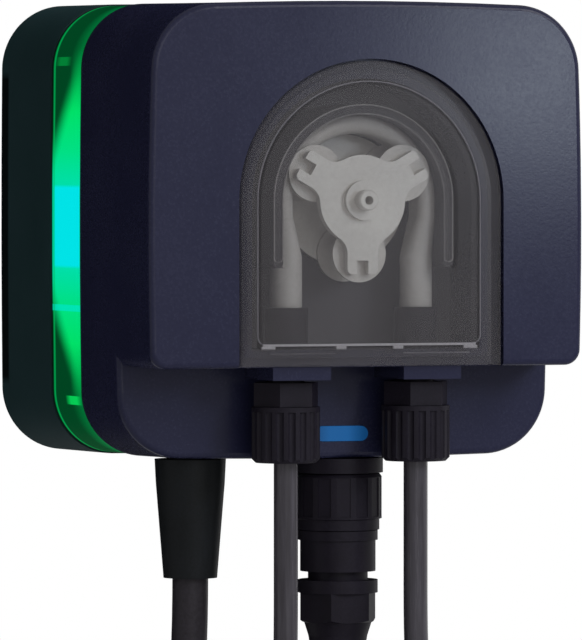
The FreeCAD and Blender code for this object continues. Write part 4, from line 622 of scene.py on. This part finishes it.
def tieTree():
    # nylon cable tie: a flat band, a row of small teeth outside it, a head and a cut end
    tree, inlet, outlet = newNodeTree("cableTie", {
        "Inside Radius": "Float", "Band Width": "Float", "Band Thickness": "Float", "Teeth": "Int"})
    inside, width, thickness = inlet["Inside Radius"], inlet["Band Width"], inlet["Band Thickness"]
    middle = addNode(tree, "ShaderNodeMath", {"operation": "MULTIPLY_ADD", 1: 0.5}, {0: thickness, 2: inside})
    circle = addNode(tree, "GeometryNodeCurvePrimitiveCircle", {"Resolution": steps["bandCircle"]},
                     {"Radius": middle})
    upright = addNode(tree, "GeometryNodeSetCurveNormal", {"mode": "Z_UP"}, {"Curve": circle})
    section = addNode(tree, "GeometryNodeCurvePrimitiveQuadrilateral", {},
                      {"Width": thickness, "Height": width})
    parts = [addNode(tree, "GeometryNodeCurveToMesh", {}, {"Curve": upright, "Profile Curve": section})]
    outside = addNode(tree, "ShaderNodeMath", {"operation": "ADD"}, {0: inside, 1: thickness})
    for across, block in ((width, tie["head"]), (thickness, tie["end"])):
        whole = addNode(tree, "ShaderNodeCombineXYZ", {}, {"X": across, "Y": width, "Z": width})
        size = addNode(tree, "ShaderNodeVectorMath", {"operation": "MULTIPLY", 1: block["size"]}, {0: whole})
        box = addNode(tree, "GeometryNodeMeshCube", {}, {"Size": size})
        out = addNode(tree, "ShaderNodeMath", {"operation": "MULTIPLY_ADD", 1: block["out"]},
                      {0: width, 2: outside})
        along = addNode(tree, "ShaderNodeMath", {"operation": "MULTIPLY", 1: block["along"]}, {0: width})
        place = addNode(tree, "ShaderNodeCombineXYZ", {}, {"X": out, "Y": along})
        parts.append(addNode(tree, "GeometryNodeTransform", {}, {"Geometry": box, "Translation": place}))
    whole = addNode(tree, "ShaderNodeCombineXYZ", {}, {"X": thickness, "Y": thickness, "Z": width})
    tooth = addNode(tree, "ShaderNodeVectorMath", {"operation": "MULTIPLY", 1: tie["tooth"]}, {0: whole})
    parts.append(barsRound(tree, outside, inlet["Teeth"], tooth))
    joined = addNode(tree, "GeometryNodeJoinGeometry")
    for part in parts:
        tree.links.new(part.outputs[0], joined.inputs[0])
    return placeAndFinish(tree, inlet, outlet, joined)


def lineTree():
    # a fine bar that follows the base outline, with its corners eased
    tree, inlet, outlet = newNodeTree("coverLine", {"Base": "Geometry", "Corner": "Float", "Bar": "Float"})
    path = addNode(tree, "GeometryNodeMeshToCurve", {}, {"Mesh": inlet["Base"]})
    eased = addNode(tree, "GeometryNodeFilletCurve",
                    {"mode": "POLY", "Count": steps["corner"], "Limit Radius": True},
                    {"Curve": path, "Radius": inlet["Corner"]})
    section = addNode(tree, "GeometryNodeCurvePrimitiveQuadrilateral", {},
                      {"Width": inlet["Bar"], "Height": inlet["Bar"]})
    bar = addNode(tree, "GeometryNodeCurveToMesh", {"Fill Caps": True},
                  {"Curve": eased, "Profile Curve": section})
    return placeAndFinish(tree, inlet, outlet, bar)


def tabTree():
    # equal clip tabs on the base's points
    tree, inlet, outlet = newNodeTree("coverTabs", {
        "Base": "Geometry", "Length": "Float", "Height": "Float", "Depth": "Float"})
    size = addNode(tree, "ShaderNodeCombineXYZ", {}, {"X": inlet["Length"], "Y": inlet["Depth"],
                                                      "Z": inlet["Height"]})
    tab = addNode(tree, "GeometryNodeMeshCube", {}, {"Size": size})
    tabs = addNode(tree, "GeometryNodeInstanceOnPoints", {}, {"Points": inlet["Base"], "Instance": tab})
    return placeAndFinish(tree, inlet, outlet, tabs)


def pieceFrom(name, tree, values, points=(), edges=()):
    # the tree's result as a plain mesh, from base points in millimetres where the tree needs them
    mesh = bpy.data.meshes.new(name)
    mesh.from_pydata([tuple(value * mm for value in point) for point in points], list(edges), [])
    thing = addObject(name, mesh)
    modifier = thing.modifiers.new("build", "NODES")
    modifier.node_group = tree
    for item in tree.interface.items_tree:
        if item.in_out == "INPUT" and item.name in values:
            modifier[item.identifier] = values[item.name]
    graph = bpy.context.evaluated_depsgraph_get()
    plain = bpy.data.meshes.new_from_object(thing.evaluated_get(graph), depsgraph=graph)
    thing.modifiers.remove(modifier)
    thing.data = plain
    return thing


# Ties round the coils: which cord, its side, and degrees round the coil
tiePlaces = {
    "leadTieTop": (mainsLead, 1, 75),
    "leadTieFoot": (mainsLead, 1, 285),
    "suctionTieTop": (hose, -1, 100),
    "suctionTieFoot": (hose, -1, 260),
    "deliveryTieTop": (hose, 1, 80),
    "deliveryTieFoot": (hose, 1, 280),
}
cableTie = tieTree()
ties = []
for name, (cord, side, degrees) in tiePlaces.items():
    angle = math.radians(degrees)
    x, y, z = cord["coil"]
    spot = (side * x + cord["radius"] * math.cos(angle), y, z + cord["radius"] * math.sin(angle))
    ties.append(pieceFrom(name, cableTie, {
        "Inside Radius": cord["tieInside"] * mm, "Band Width": tie["width"] * mm,
        "Band Thickness": tie["thickness"] * mm, "Teeth": tie["teeth"],
        "Place": [value * mm for value in spot], "Turn": (0.0, -angle, 0.0), "Finish": blackNylon}))

# Grip ribs round the mains plug
plugGrip = {"radius": 19.0, "count": 22, "height": 1.2, "width": 1.5, "length": 15.0,
            "middle": (-58, -60, -303.5)}
plugRibs = pieceFrom("plugGripRibs", ribTree(), {
    "Radius": plugGrip["radius"] * mm, "Count": plugGrip["count"], "Height": plugGrip["height"] * mm,
    "Width": plugGrip["width"] * mm, "Length": plugGrip["length"] * mm,
    "Place": [value * mm for value in plugGrip["middle"]], "Finish": bootPvc})

# The cover's inner line, the bar along its foot, its clip tabs and the two tongues below them, in the paler
# finishes painted for the light in the cover's edges and bends
coverLine = {"radius": 29.3, "middle": 7.6, "foot": -27.75, "bar": 0.32, "corner": 2.0, "depth": -110.45}
# The rounded lip round the track wall's front, where it catches the light: a pale bar painted there as its
# highlight
trackLip = {"outer": 23.55, "inner": 21.35, "middle": 7.6, "foot": -7.65, "bar": 0.3, "corner": 1.05}
fineLine = lineTree()


def archPoints(radius, line):
    points = [(radius, 0, line["foot"])]
    for number in range(steps["arch"] + 1):
        swing = math.pi * number / steps["arch"]
        points.append((radius * math.cos(swing), 0, line["middle"] + radius * math.sin(swing)))
    return points + [(-radius, 0, line["foot"])]


def drawLine(name, points, line, place, finish):
    edges = [(number, (number + 1) % len(points)) for number in range(len(points))]
    return pieceFrom(name, fineLine, {"Corner": line["corner"] * mm, "Bar": line["bar"] * mm,
                                      "Place": place, "Finish": finish}, points, edges)


behindPlate = (0.0, coverLine["depth"] * mm, 0.0)
coverPieces = [drawLine("coverInnerLine", archPoints(coverLine["radius"], coverLine), coverLine,
                        behindPlate, coverEdgePaintedLight)]
tabDepth = 0.7
tabSizes = {
    "coverFootBar": {"at": [0], "height": -27.9, "length": 56.0, "thickness": 0.55, "finish": coverBendPaintedLight},
    "coverTabsWide": {"at": [-26.6, 26.6], "height": -28.6, "length": 3.6, "thickness": 0.75,
                      "finish": coverBendPaintedLight},
    "coverTabsNarrow": {"at": [-7.5, 7.5], "height": -28.6, "length": 2.6, "thickness": 0.75,
                        "finish": coverBendPaintedLight},
    "coverTongues": {"at": [-17.6, 17.6], "height": -30.0, "length": 17.5, "thickness": 0.3,
                     "finish": coverEdgePaintedLight},
}
clipTabs = tabTree()
for name, tab in tabSizes.items():
    coverPieces.append(pieceFrom(name, clipTabs, {
        "Length": tab["length"] * mm, "Height": tab["thickness"] * mm, "Depth": tabDepth * mm,
        "Place": behindPlate, "Finish": tab["finish"]}, [(place, 0, tab["height"]) for place in tab["at"]]))

headFront = min(corner[1] for corner in nodes["pump_head_base"].bound_box)
lipPoints = archPoints(trackLip["outer"], trackLip) + archPoints(trackLip["inner"], trackLip)[::-1]
lip = drawLine("trackLip", lipPoints, trackLip, (0.0, headFront, 0.0), trackLipPaintedHighlight)
print("small parts made")


# Who rides where
for piece in coverPieces:
    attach(piece, "cover")
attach(lip, "housing")
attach(plugRibs, "housing")
for cord, label in ((leadCord, "mains_lead"), (suctionHose, "suction_hose"), (deliveryHose, "delivery_hose")):
    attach(cord, "housing")
    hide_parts(label + "_run", label + "_coil", label + "_tail")
for piece in ties:
    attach(piece, "housing")


# Floor, backdrop and light
stage = {
    "floor": -0.36,
    "size": 5.0,
    "floorColour": "#F4F4F4",
    "floorLevel": 0.1,
    "world": 0.35,
    "flag": [(-1.6, 0.30, -0.34), (0.5, 0.45, -0.34), (0.5, 0.45, 1.1), (-1.6, 0.30, 1.1)],
    "flagColour": "#050505",
    "flagLevel": 0.0,
    "paintRoughness": 0.85,
}


def card(name, corners, colour, level):
    mesh = bpy.data.meshes.new(name)
    mesh.from_pydata(corners, [], [(0, 1, 2, 3)])
    paint = newMaterial(name + "Paint", colour, stage["paintRoughness"], level=level)[0]
    mesh.materials.append(paint)
    thing = addObject(name, mesh)
    return thing


half = stage["size"] / 2
card("floor", [(x * half, y * half, stage["floor"]) for x, y in ((-1, -1), (1, -1), (1, 1), (-1, 1))],
     stage["floorColour"], stage["floorLevel"])
# a black flag behind, seen only in reflections, keeps the white surround out of the dark edges
flag = card("blackFlag", stage["flag"], stage["flagColour"], stage["flagLevel"])
for unseen in ("camera", "diffuse", "transmission", "volume_scatter", "shadow"):
    setattr(flag, "visible_" + unseen, False)

# White for what the camera, a reflection or a clear part sees, and dimmer as light
world = bpy.data.worlds.new("studio")
bpy.context.scene.world = world
world.use_nodes = True
worldTree = world.node_tree
background = worldTree.nodes["Background"]
background.inputs["Color"].default_value = (1, 1, 1, 1)
rays = addNode(worldTree, "ShaderNodeLightPath").outputs
seen = addNode(worldTree, "ShaderNodeMath", {"operation": "MAXIMUM"},
               {0: rays["Is Camera Ray"], 1: rays["Is Transmission Ray"]})
shown = addNode(worldTree, "ShaderNodeMath", {"operation": "MAXIMUM"}, {0: seen, 1: rays["Is Glossy Ray"]})
level = addNode(worldTree, "ShaderNodeMapRange", {"To Min": stage["world"], "To Max": 1.0}, {"Value": shown})
worldTree.links.new(level.outputs["Result"], background.inputs["Strength"])

# Soft boxes: place and aim in metres, power in watts
lamps = {
    "keyRight": {"place": (0.75, -1.25, 0.75), "aim": (0.02, -0.1, 0.0), "size": (0.6, 0.6), "power": 10},
    "fillFront": {"place": (-0.1, -1.9, 0.35), "aim": (0, -0.1, 0), "size": (0.9, 0.7), "power": 5},
    "sheenRight": {"place": (0.138, -0.344, 0.044), "aim": (0.046, -0.112, 0.036), "size": (0.05, 0.05),
                   "power": 0.21, "colour": "#E5F1FF"},
    "backTop": {"place": (0.3, 1.5, 1.4), "aim": (0.0, 0.1, -0.2), "size": (1.2, 1.2), "power": 20,
                "mirrored": False},  # it lights the floor and would only glare on the pump's top
}
for name, lamp in lamps.items():
    light = bpy.data.lights.new(name, "AREA")
    light.shape = "RECTANGLE"
    light.size, light.size_y = lamp["size"]
    light.energy = lamp["power"]
    light.color = linear(lamp.get("colour", "#FFFFFF"))[:3]
    softbox = addObject(name, light)
    softbox.location = lamp["place"]
    softbox.rotation_euler = (Vector(lamp["aim"]) - Vector(lamp["place"])).to_track_quat("-Z", "Y").to_euler()
    softbox.visible_glossy = lamp.get("mirrored", True)
print("stage lit")
